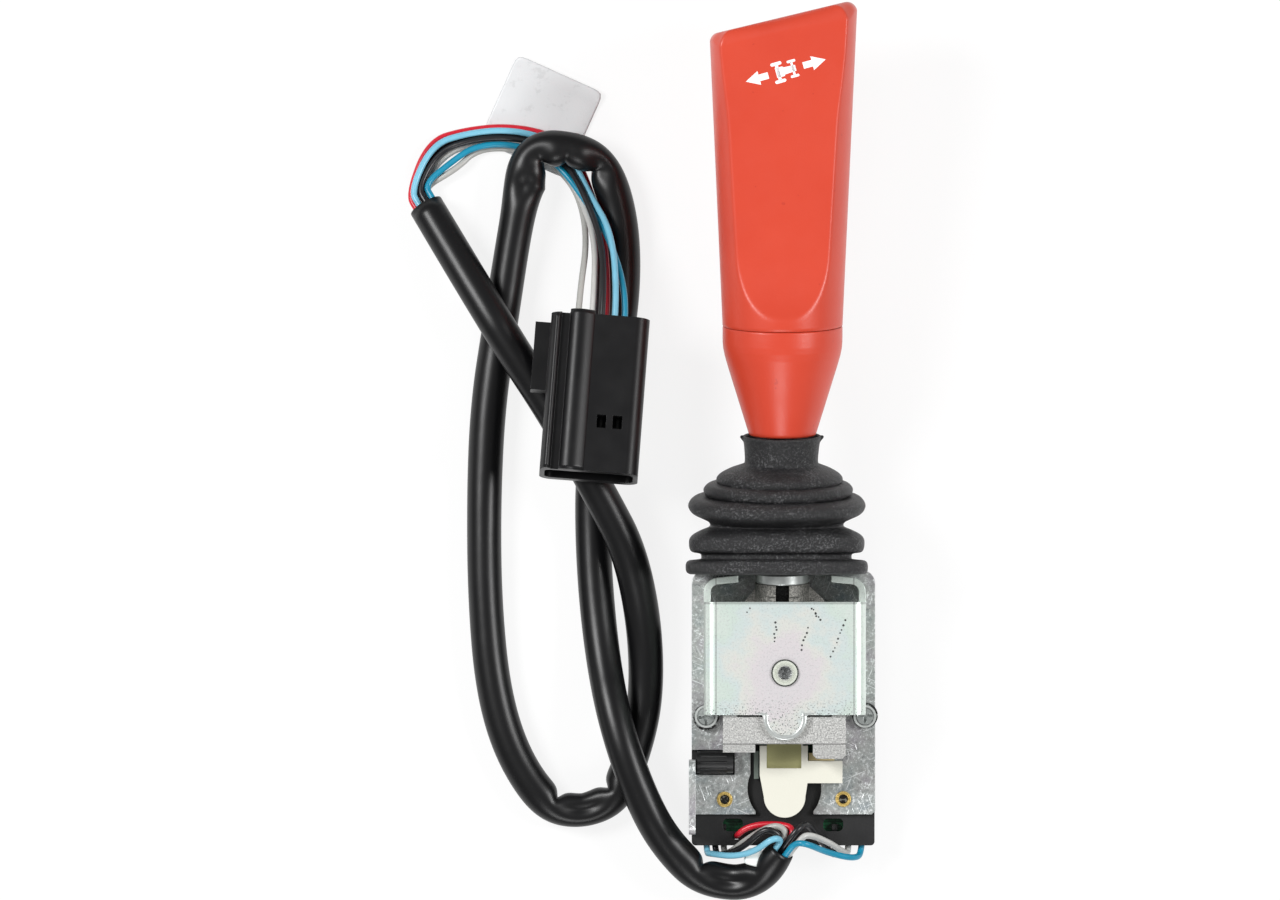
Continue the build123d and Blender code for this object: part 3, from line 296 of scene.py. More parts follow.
# %% Wire and sleeve finishes
def insulation(name, colour):
    made = Finish(name, IOR=1.5)
    cloud = made.noise(0.004, 2)
    darker = tuple(c * 0.8 for c in colour)
    made.shades(cloud, darker, colour)
    made.roughness(made.noise(0.002, 2) * 0.12 + 0.26)
    return made.bump(made.noise(0.0016), 0.00004)


wire_finishes = {
    "grey": insulation("wire grey", (0.42, 0.42, 0.40)),
    "striped": insulation("wire pale grey", (0.55, 0.55, 0.53)),
    "black": insulation("wire black", (0.012, 0.012, 0.014)),
    "red": insulation("wire red", (0.62, 0.012, 0.03)),
    "light_blue": insulation("wire light blue", (0.19, 0.50, 0.66)),
    "blue": insulation("wire blue", (0.006, 0.25, 0.40)),
}

tube = Finish("soft black tube", IOR=1.45, Specular_IOR_Level=0.42)
dust = tube.noise(0.0009, 4, 0.7)
patch = tube.noise(0.018, 3, seed=2.0)
speck = dust.above(0.62, 0.1) * patch.above(0.45, 0.2)
tube.shades(speck * 0.25, (0.003, 0.003, 0.0035), 0.04)
tube.roughness(patch * 0.08 + speck * 0.2 + 0.31)
tube.bump(tube.noise(0.012, 2, 0.4, seed=5.0), 0.00015)
print("wire finishes:", ", ".join(wire_finishes))

# %% [markdown]
# ## The harness
# The tube is one cord of fixed length. Its route repeats the control points of the CAD
# model, and a smooth spline through their neighbourhood gives the line.

# %% Splines
def stations(points):
    """The points that Blender draws a NURBS curve of order 3 through, in metres, for
    control points in millimetres."""
    data = bpy.data.curves.new("guide", "CURVE")
    data.dimensions = "3D"
    data.resolution_u = 20
    spline = data.splines.new("NURBS")
    spline.points.add(len(points) - 1)
    flat = np.ones((len(points), 4))
    flat[:, :3] = np.array(points) * MM
    spline.points.foreach_set("co", flat.ravel())
    spline.order_u = 3
    spline.use_endpoint_u = True
    guide = add("guide", data)
    mesh = bpy.data.meshes.new_from_object(guide)
    line = np.zeros(len(mesh.vertices) * 3)
    mesh.vertices.foreach_get("co", line)
    bpy.data.meshes.remove(mesh)
    bpy.data.objects.remove(guide)
    return line.reshape(-1, 3)


def line_length(line):
    return float(np.linalg.norm(np.diff(line, axis=0), axis=1).sum())


SLEEVE_R = 5.25 * MM
sleeve_route = [
    (-0.9, -53.4, 20), (-8.4, -63.6, 15.2), (-23.7, -62.4, 12.5), (-35.1, -52.5, 13.5),
    (-43.2, -38.1, 16.15), (-51, -15.6, 16.15), (-55.2, 6.9, 8), (-57.6, 33.9, 5.35),
    (-57.9, 60.9, 5.35), (-54.3, 86.4, 5.35), (-49.2, 105.9, 5.35), (-48.3, 129.9, 5.35),
    (-52.2, 148.5, 6.2), (-60.6, 157.5, 9.9), (-75.6, 156.9, 9.9), (-80.1, 140.4, 7),
    (-85.5, 105.9, 5.35), (-89.4, 80.4, 5.35), (-90.6, 51.9, 5.35), (-90.3, 21.9, 5.35),
    (-87.9, -5.1, 5.35), (-82.2, -24.6, 5.35), (-72.6, -39, 5.35), (-60.9, -42.6, 5.35),
    (-50.4, -36.9, 5.35), (-44.1, -20.7, 5.35), (-41.4, -5.1, 5.35), (-42.3, 15.9, 8.5),
    (-46.8, 36.9, 14.5), (-54.6, 51.9, 16.15), (-62.1, 65.4, 16.15), (-72, 81.9, 15),
    (-81, 95.7, 16.15), (-90.6, 111.3, 16.15), (-108, 140.4, 6),
]
sleeve_line = stations(sleeve_route)
print("sleeve length", round(line_length(sleeve_line) * 1000), "mm")

# %% [markdown]
# The tube is a ring at each place of that line. Where a soft tube is bent too far, its inner
# wall folds in and its top goes flat, so the table lists those places: there the ring gets a
# sharp crease inside, a broad dent on top and a little more width outside.

# %% The tube around its line
MOUTH_PINCH, MOUTH_RUN = 0.26, 7 * MM
WALL = 0.86
kinks = [
    # x, y, crease depth and width, dent on top and its width, spread to the outside
    (-74.3, 155.2, 0.62, 1.8, 0.30, 4, 0.26), (-78.3, 147, -0.20, 5, 0.28, 4, 0.14),
    (-65.5, 156.5, 0.24, 1.6, 0.10, 3, 0), (-56, 152.5, 0.48, 2.2, 0.40, 5, 0.05),
    (-70, -40.5, 0.50, 1.7, 0, 3, 0.10), (-60.5, -42, 0.05, 5, 0.50, 8.5, -0.04),
    (-51, -36.5, 0.50, 1.7, 0, 3, 0.12), (-26, -61, 0.40, 1.8, 0, 3, 0.10),
    (-16, -62.8, 0, 4, 0.46, 8.5, 0.03), (-6.3, -60.6, 0.42, 1.8, 0, 2.5, 0.12),
]


def sleeve_surface(line, radius, columns=48):
    """Rings around a line: ring(a) = line + r(a) * (cos a * side + sin a * up). At a kink,
    r falls by depth * exp(-|d| / width) on the inside of the bend, and the top sinks in."""
    along = np.concatenate([[0], np.cumsum(np.linalg.norm(np.diff(line, axis=0), axis=1))])
    heading = unit(np.gradient(line, axis=0))
    side = unit(np.cross(heading, [0, 0, 1]))
    up = np.cross(side, heading)
    turning = np.gradient(heading, axis=0)
    inside = np.sign((turning * side).sum(1))
    angle = circle(columns)[None]
    reach = np.ones((len(line), columns))
    for x, y, depth, width, dent, dent_width, spread in kinks:
        near = np.linalg.norm(line[:, :2] - np.array([x, y]) * MM, axis=1)
        middle = np.argmin(near)
        gap = np.abs(along - along[middle])[:, None] / MM
        inward = np.cos(angle) * inside[middle]
        crease = np.exp(-gap / width)
        reach -= depth * crease * np.maximum(0, inward + 0.15) ** 1.5
        reach += spread * np.exp(-((gap / 8) ** 2)) * np.maximum(0, -inward) ** 2
        on_top = np.exp(-(((angle - np.pi / 2) / 0.75) ** 2))
        reach -= dent * np.exp(-((gap / dent_width) ** 2)) * on_top
    reach -= MOUTH_PINCH * np.exp(-along / MOUTH_RUN)[:, None]
    reach += 0.02 * np.sin(along / (17 * MM))[:, None] * np.cos(2 * angle + 0.6)
    reach *= radius
    offset = np.cos(angle)[..., None] * side[:, None] + np.sin(angle)[..., None] * up[:, None]
    outer = line[:, None] + reach[:, :, None] * offset
    deep = 9
    front = (line[:deep, None] + WALL * reach[:deep, :, None] * offset[:deep])[::-1]
    back = (line[-deep:, None] + WALL * reach[-deep:, :, None] * offset[-deep:])[::-1]
    return capped(np.concatenate([front, outer, back]), (line[deep - 1], line[-deep]))


sleeve = grid_piece("sleeve", sleeve_surface(sleeve_line, SLEEVE_R))

# %% [markdown]
# Each wire follows the same control points as in the CAD model, carried a few millimetres
# on into the sleeve's open end.

# %% Wire routes
WIRE_R = 0.95
connector_routes = {
    "grey": [
        (-106.13, 140.98, 4.47), (-109.08, 145.91, 2.75), (-98.74, 151.71, 4.24),
        (-93.19, 157.31, 1.4), (-83.73, 158.27, 1.4), (-73.96, 155.68, 1.4), (-66.73, 150.63, 1.4),
        (-61.42, 142.55, 3.65), (-59.4, 129.9, 12), (-61.45, 115.31, 23.7),
        (-62.12, 106.52, 25.49),
    ],
    "striped": [
        (-107.42, 139.81, 3.32), (-110.37, 144.75, 1.6), (-103.01, 155.75, 1.4),
        (-94.22, 159.36, 1.4), (-83.75, 160.26, 1.4), (-73.37, 158.11, 1.46),
        (-65.58, 152.36, 2.23), (-61.42, 143.47, 5.74), (-56.89, 130.14, 14.28),
        (-57.24, 115.21, 24.77), (-57.92, 106.42, 26.57),
    ],
    "black_b": [
        (-109.14, 139.19, 4.47), (-112.09, 144.12, 2.75), (-105.81, 158.52, 1.75),
        (-95.19, 161.49, 1.4), (-83.72, 162.59, 1.4), (-71.97, 160.16, 1.4), (-64.17, 153.85, 1.4),
        (-60.22, 144.8, 4.06), (-55.98, 131.26, 10.67), (-56.3, 114.34, 20.85),
        (-56.98, 105.55, 22.65),
    ],
    "red": [
        (-110.52, 138.96, 6.19), (-113.47, 143.89, 4.47), (-107.29, 160.18, 2.48),
        (-96, 163.46, 1.4), (-83.7, 164.63, 1.4), (-71.32, 162.46, 1.43), (-63.7, 156.83, 1.99),
        (-59.32, 147.94, 3.57), (-54.31, 131.97, 12.14), (-53.08, 114.61, 23.4),
        (-53.75, 105.82, 25.2),
    ],
    "light_blue": [
        (-109.7, 140.12, 8.11), (-112.65, 145.05, 6.39), (-106.15, 159.14, 4.12),
        (-95.7, 162.42, 3.4), (-83.6, 163.62, 3.75), (-71.76, 161.08, 3.21),
        (-63.94, 154.85, 3.25), (-59.01, 144.56, 8.36), (-52.02, 132.59, 16.93),
        (-50.45, 114.81, 25.36), (-51.13, 106.02, 27.16),
    ],
    "black_a": [
        (-107.63, 140.95, 6.96), (-110.58, 145.89, 5.24), (-104.25, 157.18, 2.69),
        (-94.4, 160.46, 3.85), (-83.67, 161.39, 3.07), (-72.89, 159.29, 3.09),
        (-65.64, 153.71, 3.86), (-60.38, 144.25, 10.5), (-54.9, 129.9, 17.4),
        (-54.32, 115.35, 26.54), (-55, 106.55, 28.33),
    ],
    "blue": [
        (-105.63, 142.09, 6.77), (-108.58, 147.02, 5.05), (-100.44, 153.69, 4.37),
        (-93.68, 158.47, 3.62), (-83.67, 159.38, 3.44), (-73.81, 156.8, 3.04),
        (-66.86, 151.6, 3.95), (-60.15, 142.35, 8.89), (-52.95, 131.42, 15.17),
        (-47.49, 114.14, 23.21), (-48.17, 105.35, 25),
    ],
}
board_routes = {
    "light_blue": [
        (-23.5, -47.7, 8.6), (-23.5, -54.6, 8.6), (-22.41, -54.64, 12.48), (-15.24, -55.43, 19.09),
        (-8.8, -53.72, 22.35), (-3.65, -49.7, 25.83), (-0.83, -50.21, 22.96),
        (-2.77, -52.84, 21.72),
    ],
    "black_a": [
        (-21, -47.7, 8.6), (-21, -54.2, 8.6), (-19.27, -55.33, 12.33), (-12.5, -52.92, 17.74),
        (-5.95, -46.43, 22.12), (-0.96, -49.09, 21.3), (-3, -51.86, 20),
    ],
    "grey": [
        (-18.4, -47.7, 8.6), (-18.4, -53.7, 8.6), (-17.32, -55.09, 11.2), (-10.29, -49.38, 17.2),
        (-2.73, -45.52, 19.5), (0.85, -47.91, 20.1), (-2, -51.79, 18.28),
    ],
    "red": [
        (-14.4, -49.4, 7.2), (-14.4, -49.4, 13.8), (-12.3, -47.2, 15.01), (-7.1, -45.6, 16),
        (1.49, -45.98, 17.38), (2.74, -48.45, 19.55), (-0.35, -52.66, 17.57),
    ],
    "blue": [
        (23.4, -47.7, 8.6), (23.4, -54.6, 8.6), (21.16, -56.21, 12.92), (13.2, -54.4, 17.5),
        (6.68, -51.45, 25.38), (3, -51.2, 23.51), (0.2, -55.01, 21.72),
    ],
    "striped": [
        (19.3, -47.7, 8.6), (19.3, -54, 8.6), (18.6, -54.76, 11.08), (13.22, -51.05, 16.13),
        (6.68, -48.45, 21.44), (4.26, -50.77, 21.96), (1.2, -54.94, 20),
    ],
    "black_b": [
        (15.2, -47.7, 8.6), (15.2, -53.7, 8.6), (14.94, -55.62, 11.66), (9.61, -49.1, 15.52),
        (6.82, -45.45, 18.55), (3.9, -46.88, 23.07), (-0.9, -53.4, 20),
    ],
}
print("routes", len(connector_routes) + len(board_routes))

# %% [markdown]
# A wire's rings need a side direction that is never parallel to the wire, so the best of a
# few fixed axes is taken.

# %% Wires
INTO_TUBE = 4.0


def carried_on(end, before):
    """A point INTO_TUBE further along the last run."""
    end, before = Vector(end), Vector(before)
    return tuple(end + (end - before).normalized() * INTO_TUBE)


def shade_of(wire):
    """The name of a wire's colour, which the two black wires share."""
    return "black" if wire.startswith("black") else wire


AXES = np.array([(0, 0, 1), (1, 0, 0), (0, 1, 0), (1, 1, 1), (1, -1, 1), (-1, 1, 1), (1, 1, -1)])


def wire_surface(line, radius, columns=20):
    """ring(a) = line + radius * (cos a * side + sin a * up), closed by a point at each end."""
    heading = unit(np.gradient(line, axis=0))
    sides = np.cross(heading[None], unit(AXES)[:, None])
    side = unit(sides[np.argmax(np.linalg.norm(sides, axis=2).min(1))])
    up = np.cross(side, heading)
    angle = circle(columns)[None, :, None]
    rings = line[:, None] + radius * (np.cos(angle) * side[:, None] + np.sin(angle) * up[:, None])
    return capped(rings, (line[0], line[-1]))


wires = []
for prefix, routes, far_end in (("connector_wire_", connector_routes, "connector"),
                                ("board_wire_", board_routes, "object")):
    for label, route in routes.items():
        if far_end == "connector":
            points = [carried_on(route[0], route[1])] + route
        else:
            points = route + [carried_on(route[-1], route[-2])]
        line = stations(points)
        wire = grid_piece(prefix + label + "_dressed", wire_surface(line, WIRE_R * MM))
        wires.append((wire, prefix + label, shade_of(label), route[0], far_end, line))
print("wires", len(wires))

# %% [markdown]
# Each wire and the sleeve get their finish, ride on the frame and hide the CAD pieces they
# stand for.

# %% Cords dressed and put on the frame
for wire, node, shade, start, end, line in wires:
    settle(wire, wire_finishes[shade], "frame", "wire_" + shade, node)
settle(sleeve, tube, "frame", "sleeve_black", "harness_sleeve")
print("cords", len(wires) + 1)

# %% [markdown]
# ## Rubber
# Old moulded rubber is almost black but never clean: talc and dust stay in a fine grain and
# gather as pale smudges. The finish mixes a coarse cloud with a very fine grain.

# %% Rubber finish
rubber = Finish("moulded rubber", IOR=1.5)
grain = rubber.noise(0.0007, 6, 0.8)
cloud = rubber.noise(0.009, 4, 0.6, seed=1.0)
chalk = grain.above(0.50, 0.12) * (cloud.above(0.42, 0.2) * 0.75 + 0.25)
rubber.shades(chalk * 0.6, (0.005, 0.005, 0.006), (0.20, 0.20, 0.205))
rubber.roughness(cloud * 0.2 + 0.40)
rubber.bump(grain * 0.6 + rubber.noise(0.0022) * 0.4, 0.0007)
print("rubber nodes", len(rubber.tree.nodes))

# %% [markdown]
# ## The boot
# The boot is a bellows. Its wall is one closed profile: from the neck's lip down over
# three round folds, a waist, a square fold and the base flange, then back up inside. Each
# ring is a superellipse: nearly square at the base, a circle at the top. The upper rings
# lean with the lever.

# %% Boot surface
LEAN = math.radians(7)
AXIS_Z = 24.5
boot_stations = np.array([
    # height, half width, half depth, squareness, centre x
    (70.9, 10.9, 10.9, 2, -0.9), (71.3, 11.4, 11.4, 2, -0.9), (70.6, 11.75, 11.75, 2, -0.9),
    (68.8, 11.3, 11.3, 2, -0.95), (66.5, 11.05, 11.05, 2, -1), (64, 10.9, 10.9, 2, -1.05),
    (62.9, 11.2, 11.2, 2, -1.1), (62.2, 12.8, 12.8, 2, -1.2), (61.3, 15.2, 15.2, 2, -1.35),
    (60, 17.6, 17.6, 2, -1.5), (58.9, 18.7, 18.6, 2, -1.6), (57.7, 18.85, 18.7, 2, -1.6),
    (56.9, 18.3, 18.2, 2, -1.65), (56.5, 16.6, 16.6, 2, -1.7), (56.9, 15.8, 15.8, 2, -1.7),
    (57.2, 17, 17, 2.05, -1.75), (57.1, 19.6, 19.4, 2.1, -1.8), (56.6, 21.3, 21, 2.1, -1.9),
    (55.4, 22.3, 21.9, 2.1, -2), (54, 22.1, 21.7, 2.1, -2), (53.1, 21, 20.7, 2.1, -2),
    (52.6, 18.8, 18.6, 2.1, -2.1), (52.9, 17.6, 17.4, 2.15, -2.1), (53.2, 19.4, 19.2, 2.2, -2.2),
    (53.2, 22.6, 22, 2.3, -2.2), (52.6, 24.9, 23.8, 2.35, -2.3), (51.2, 26.3, 25, 2.4, -2.4),
    (49.6, 26.45, 25.1, 2.4, -2.4), (48.2, 25.3, 24.2, 2.5, -2.4), (47, 23.1, 22.2, 2.6, -2.4),
    (45.8, 20.9, 19.9, 2.8, -2.4), (44.9, 20.1, 18.9, 3, -2.4), (44.2, 20, 18.7, 3.2, -2.4),
    (43.6, 20.7, 19.2, 3.6, -2.4), (42.7, 23, 21.2, 4.2, -2.4), (41.6, 25, 22.8, 4.8, -2.4),
    (40.3, 26.1, 23.6, 5.2, -2.4), (38.6, 26.3, 23.8, 5.4, -2.4), (37, 26, 23.5, 5.4, -2.4),
    (36.2, 25.2, 22.8, 5.4, -2.4), (35.9, 23.4, 21.2, 5.6, -2.5), (35.5, 22.6, 20.4, 5.8, -2.5),
    (34.7, 22.5, 20.3, 6, -2.5), (34.2, 22.7, 20.5, 6.2, -2.5), (33.95, 24.2, 22, 6.6, -2.45),
    (33.7, 26.3, 23.7, 7, -2.4), (33, 27.1, 24.4, 7.4, -2.4), (31.8, 27.3, 24.45, 7.6, -2.4),
    (30.4, 27.1, 24.3, 7.4, -2.4), (29.75, 26.4, 23.7, 7, -2.4), (29.6, 25, 22.6, 6.6, -2.4),
    (29.6, 18.6, 17.2, 6, -2.4), (30.2, 18, 16.6, 6, -2.4), (40, 18, 16.6, 4, -2.4),
    (46.5, 16.8, 15.9, 3, -2.2), (52, 15, 15, 2.2, -1.9), (58, 12.5, 12.5, 2, -1.5),
    (61.5, 9.2, 9.2, 2, -1.1), (66, 9, 9, 2, -0.95), (69.1, 9.1, 9.1, 2, -0.9),
    (69.4, 9.8, 9.8, 2, -0.9), (69.7, 10.6, 10.6, 2, -0.9), (70.35, 10.8, 10.8, 2, -0.9),
])


def eased(table, steps):
    """A closed Catmull-Rom curve through the table's rows: a smooth profile."""
    before, after = np.roll(table, 1, 0), np.roll(table, -1, 0)
    beyond = np.roll(table, -2, 0)
    t = np.linspace(0, 1, steps, endpoint=False)[None, :, None]
    a, b, c, d = (x[:, None] for x in (before, table, after, beyond))
    value = 0.5 * (2 * b + (c - a) * t + (2 * a - 5 * b + 4 * c - d) * t**2
                   + (3 * b - a - 3 * c + d) * t**3)
    return value.reshape(-1, table.shape[1])


def boot_surface(columns=160):
    """point = centre + width * sign(cos a)|cos a|^(2/n) * X + depth * the same in sin a,
    with the ring's plane turned by the lever's lean above the waist. The mould's seam is a
    thin ridge at both sides of the outer wall."""
    height, half_x, half_z, square, centre_x = eased(boot_stations, 4).T[:, :, None]
    angle = circle(columns)[None]
    cos, sin = np.cos(angle), np.sin(angle)
    reach = (np.abs(cos) ** square + np.abs(sin) ** square) ** (-1 / square)
    from_left = np.abs(angle - np.pi)
    seam = np.exp(-((from_left / 0.022) ** 2)) + np.exp(-(((from_left - np.pi) / 0.022) ** 2))
    outer = np.arange(len(height))[:, None] < 49 * 4
    ridge = seam * outer * (0.10 + 0.75 * smooth_step(69.2, 71.0, height))
    x = half_x * reach * cos + ridge * cos
    z = half_z * reach * sin
    lean = LEAN * smooth_step(41, 50, height)
    rise = height / np.cos(LEAN)
    straight = np.stack([centre_x + x, height + 0 * x, AXIS_Z + z], -1)
    leaning = np.stack([centre_x + x, rise * np.cos(LEAN) - z * np.sin(LEAN),
                        AXIS_Z + rise * np.sin(LEAN) + z * np.cos(LEAN)], -1)
    share = (lean / LEAN)[..., None]
    return (straight * (1 - share) + leaning * share) * MM


boot = grid_piece("boot_folds", boot_surface(), wrap_rows=True)
dress(rubber, boot)
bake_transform(boot)
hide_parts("boot")

# %% [markdown]
# ## The knob
# Two mouldings meet at a fine groove: a cone below and a paddle above. The paddle starts
# round, widens towards its slanted top, and is cut flat front and back. A hard cut would
# look machined, so the flat is a soft minimum, which leaves a narrow rounded edge.

# %% Knob finish
red = Finish("red moulding", IOR=1.48)
flow = red.noise(0.02)
fine = red.noise(0.0006, 4, 0.6)
smudge = red.noise(0.006, 3, 0.55, seed=3.0)
tint = red.mix(flow, (0.515, 0.044, 0.019), (0.57, 0.056, 0.026))
pit = red.noise(0.0022, 1, 0.3, seed=7.0).above(0.76, 0.03)
red.shades(pit * 0.35, tint, (0.34, 0.02, 0.012))
red.roughness(smudge * 0.12 + 0.30)
red.bump(fine * 0.6 + smudge * 0.4, 0.00006)
print("knob nodes", len(red.tree.nodes))

# %% [markdown]
# Both mouldings are worked out in the lever's own directions: u across, s along, w to the
# front. The cone is a profile turned about the lever. The paddle is a ring for each s.

# %% Knob surfaces
LEVER_X = -0.75
FOOT_S, FLAT_FROM, FLAT_W, FLAT_BEND = 105.1, 127.5, 13, 38
TOP_S, TOP_SLOPE, TOP_LEAN = 198.0, 0.242, 0.1
lever_axes = [(1, 0, 0), (0, math.cos(LEAN), math.sin(LEAN)), (0, -math.sin(LEAN), math.cos(LEAN))]


def on_lever(u, s, w):
    """Lever coordinates to the frame: u across, s along the lever, w to the front."""
    return placed((LEVER_X, 0, AXIS_Z), lever_axes, u, s, w)


def cone_surface(columns=128):
    """A profile (radius, height) turned about the lever."""
    profile = np.array([
        (4.1, 71.95), (8.7, 71.95), (9.7, 72), (10.15, 72.4), (10.45, 73.4), (13.9, 84.6),
        (16.5, 93), (17.35, 96), (17.8, 98.2), (17.97, 100), (18, 102), (18, 104.55),
        (17.8, 104.85), (16.5, 104.9), (8, 104.9), (0, 104.9),
    ])
    t = np.arange(len(profile))
    fine_t = np.linspace(0, len(profile) - 1, 140)
    radius = np.interp(fine_t, t, profile[:, 0])
    height = np.interp(fine_t, t, profile[:, 1])
    angle = circle(columns)
    return on_lever(radius[:, None] * np.cos(angle), height[:, None] + 0 * angle,
                    radius[:, None] * np.sin(angle))


def soft_low(value, limit, edge):
    """The smaller of value and limit, rounded over a distance of about edge."""
    return -edge * np.logaddexp(-value / edge, -limit / edge)


def paddle_surface(columns=256, rows=150):
    """u = R(s) cos a, w = softly limited R(s) sin a, up to a slanted top
    s = 198 + 0.242 u + 0.1 w, whose rounded edge is wider in front than at the sides."""
    angle = circle(columns)[None]
    climb = np.linspace(0, 1, rows)[:, None] ** 0.9
    turn = np.linspace(0, np.pi / 2, 16)[1:, None]
    rise = 0.8 * np.sin(turn) + 0.2 * turn / (np.pi / 2)
    step_in = 0.65 * (1 - np.cos(turn)) + 0.35 * turn / (np.pi / 2)
    shrink = np.linspace(1, 0, 10)[1:, None]

    def ring(s):
        radius = 18 + 0.0447 * (s - 105)
        run = np.clip(FLAT_FROM - s, 0, None)
        flat = FLAT_W + FLAT_BEND - np.sqrt(np.maximum(FLAT_BEND**2 - run**2, 0))
        corner = 2 + 0.35 * smooth_step(165, 192, s)
        cos, sin = np.cos(angle), np.sin(angle)
        reach = (np.abs(cos) ** corner + np.abs(sin) ** corner) ** (-1 / corner)
        u = radius * cos * reach
        w = radius * sin * reach
        return u, np.sign(w) * soft_low(np.abs(w), flat, 0.22)

    def slant(u, w):
        return TOP_S + TOP_SLOPE * u + TOP_LEAN * w

    top_u, top_w = ring(np.array([[195.0]]))
    drop = 1.9 + 1.4 * smooth_step(0, 22, top_u) + 2.2 * smooth_step(7, 12.5, top_w)
    inset = 1.8 + 1.6 * smooth_step(0, 22, top_u) + 1.4 * smooth_step(7, 12.5, top_w)
    s = FOOT_S + climb * (slant(top_u, top_w) - drop - FOOT_S)
    u, w = ring(s)
    lip_u, lip_w = u[-1:], w[-1:]
    span = np.hypot(lip_u, lip_w)
    cap_u = lip_u * (1 - inset * step_in / span)
    cap_w = lip_w * (1 - inset * step_in / span)
    cap_s = slant(cap_u, cap_w) - drop * (1 - rise)
    flat_u, flat_w = cap_u[-1:] * shrink, cap_w[-1:] * shrink
    flat_s = slant(flat_u, flat_w)
    foot_u, foot_w = ring(np.array([[FOOT_S]]))
    low_u, low_w = foot_u * 0.985, foot_w * 0.985
    nil = np.zeros_like(foot_u)
    u = np.concatenate([nil, low_u * 0.9, low_u, foot_u, u[1:], cap_u, flat_u])
    w = np.concatenate([nil, low_w * 0.9, low_w, foot_w, w[1:], cap_w, flat_w])
    low = nil + FOOT_S - 0.1
    s = np.concatenate([low, low, low, low + 0.2, s[1:], cap_s, flat_s])
    return on_lever(u, s, w)


cone = grid_piece("knob_cone", cone_surface())
paddle = grid_piece("knob_paddle", paddle_surface())
settle(cone, red, "lever", "knob_red", "knob_lower")
settle(paddle, red, "lever", "knob_red", "knob_upper")

# %% [markdown]
# A white pictogram is printed near the knob's top: a small tractor seen from above between
# two arrows, one for each direction of travel. It is drawn as a few outlines along a slanted
# line and lifted into very thin plates on the front flat.

# %% Plates and outlines
def thin_plates(name, outlines, place, low, high):
    """Each outline (p, q) becomes a closed prism between the levels low and high."""
    work = bmesh.new()
    for outline in outlines:
        p, q = np.array(outline, float).T
        rims = [[work.verts.new(v) for v in place(p, q, level)] for level in (low, high)]
        work.faces.new(rims[0][::-1])
        work.faces.new(rims[1])
        for k in range(len(p)):
            work.faces.new([rims[0][k - 1], rims[0][k], rims[1][k], rims[1][k - 1]])
    bmesh.ops.recalc_face_normals(work, faces=work.faces)
    mesh = bpy.data.meshes.new(name)
    work.to_mesh(mesh)
    work.free()
    print(name, len(mesh.polygons), "faces")
    return add(name, mesh)


def bar(p0, q0, p1, q1, rounded=False):
    """A rectangle, or a bar with round ends along p."""
    if not rounded:
        return [(p0, q0), (p1, q0), (p1, q1), (p0, q1)]
    turn = np.linspace(-np.pi / 2, np.pi / 2, 9)
    middle, half = (q0 + q1) / 2, (q1 - q0) / 2
    right = [(p1 - half + half * math.cos(t), middle + half * math.sin(t)) for t in turn]
    left = [(p0 + half - half * math.cos(t), middle - half * math.sin(t)) for t in turn]
    return right + left


def arrow(tip, way):
    """An arrow of 7 mm whose tip is at p = tip and points along way."""
    shape = [(0, 0), (-4.2, 2.15), (-4.2, 1.0), (-7.0, 1.0),
             (-7.0, -1.0), (-4.2, -1.0), (-4.2, -2.15)]
    return [(tip + way * p, way * q) for p, q in shape]


def disc(x, y, reach, count):
    """A round outline of count points."""
    turn = circle(count)
    return np.stack([x + reach * np.cos(turn), y + reach * np.sin(turn)], -1)


def on_face(p, q, level):
    """A place on a face that looks straight up, in the frame's own directions."""
    return np.stack([p, q, np.full(len(p), level)], -1) * MM


print("corners of an arrow", len(arrow(0, 1)))

# %% [markdown]
# The tractor: two wide tyres behind, two narrow ones in front, the axles and the body.

# %% Pictogram
tractor = [
    bar(-4.0, 2.2, -0.6, 3.2, True), bar(-4.0, -3.2, -0.6, -2.2, True),
    bar(0.9, 1.9, 3.6, 2.7, True), bar(0.9, -2.7, 3.6, -1.9, True),
    bar(-2.8, -2.4, -1.8, 2.4), bar(1.9, -2.1, 2.6, 2.1),
    [(-3.0, -1.5), (-0.7, -1.5), (-0.4, -1.1), (3.1, -0.9),
     (3.1, 0.9), (-0.4, 1.1), (-0.7, 1.5), (-3.0, 1.5)],
]
SLANT = math.radians(15.7)


def on_flat(p, q, level):
    """A place on the paddle's front flat, along and across a slanted line."""
    return on_lever(*turned(p, q, SLANT, (0.8, 183.25)), np.full(len(p), level))


pictogram = thin_plates("pictogram", [arrow(-12.4, -1), arrow(12.4, 1)] + tractor, on_flat,
                        FLAT_W - 0.1, FLAT_W + 0.05)
ink = Finish("white ink", IOR=1.5)
ink.shades(ink.noise(0.002).above(0.45, 0.3) * 0.4, (0.85, 0.83, 0.83), (0.80, 0.70, 0.68))
ink.roughness(ink.noise(0.003, 2) * 0.1 + 0.35)
settle(pictogram, ink, "lever", "label_white")

# %% [markdown]
# ## Metals
# Zinc plating is never one colour: the passivation layer leaves clouds of pale green, blue
# and pink, and handling leaves scratches. So these finishes ask where they are.

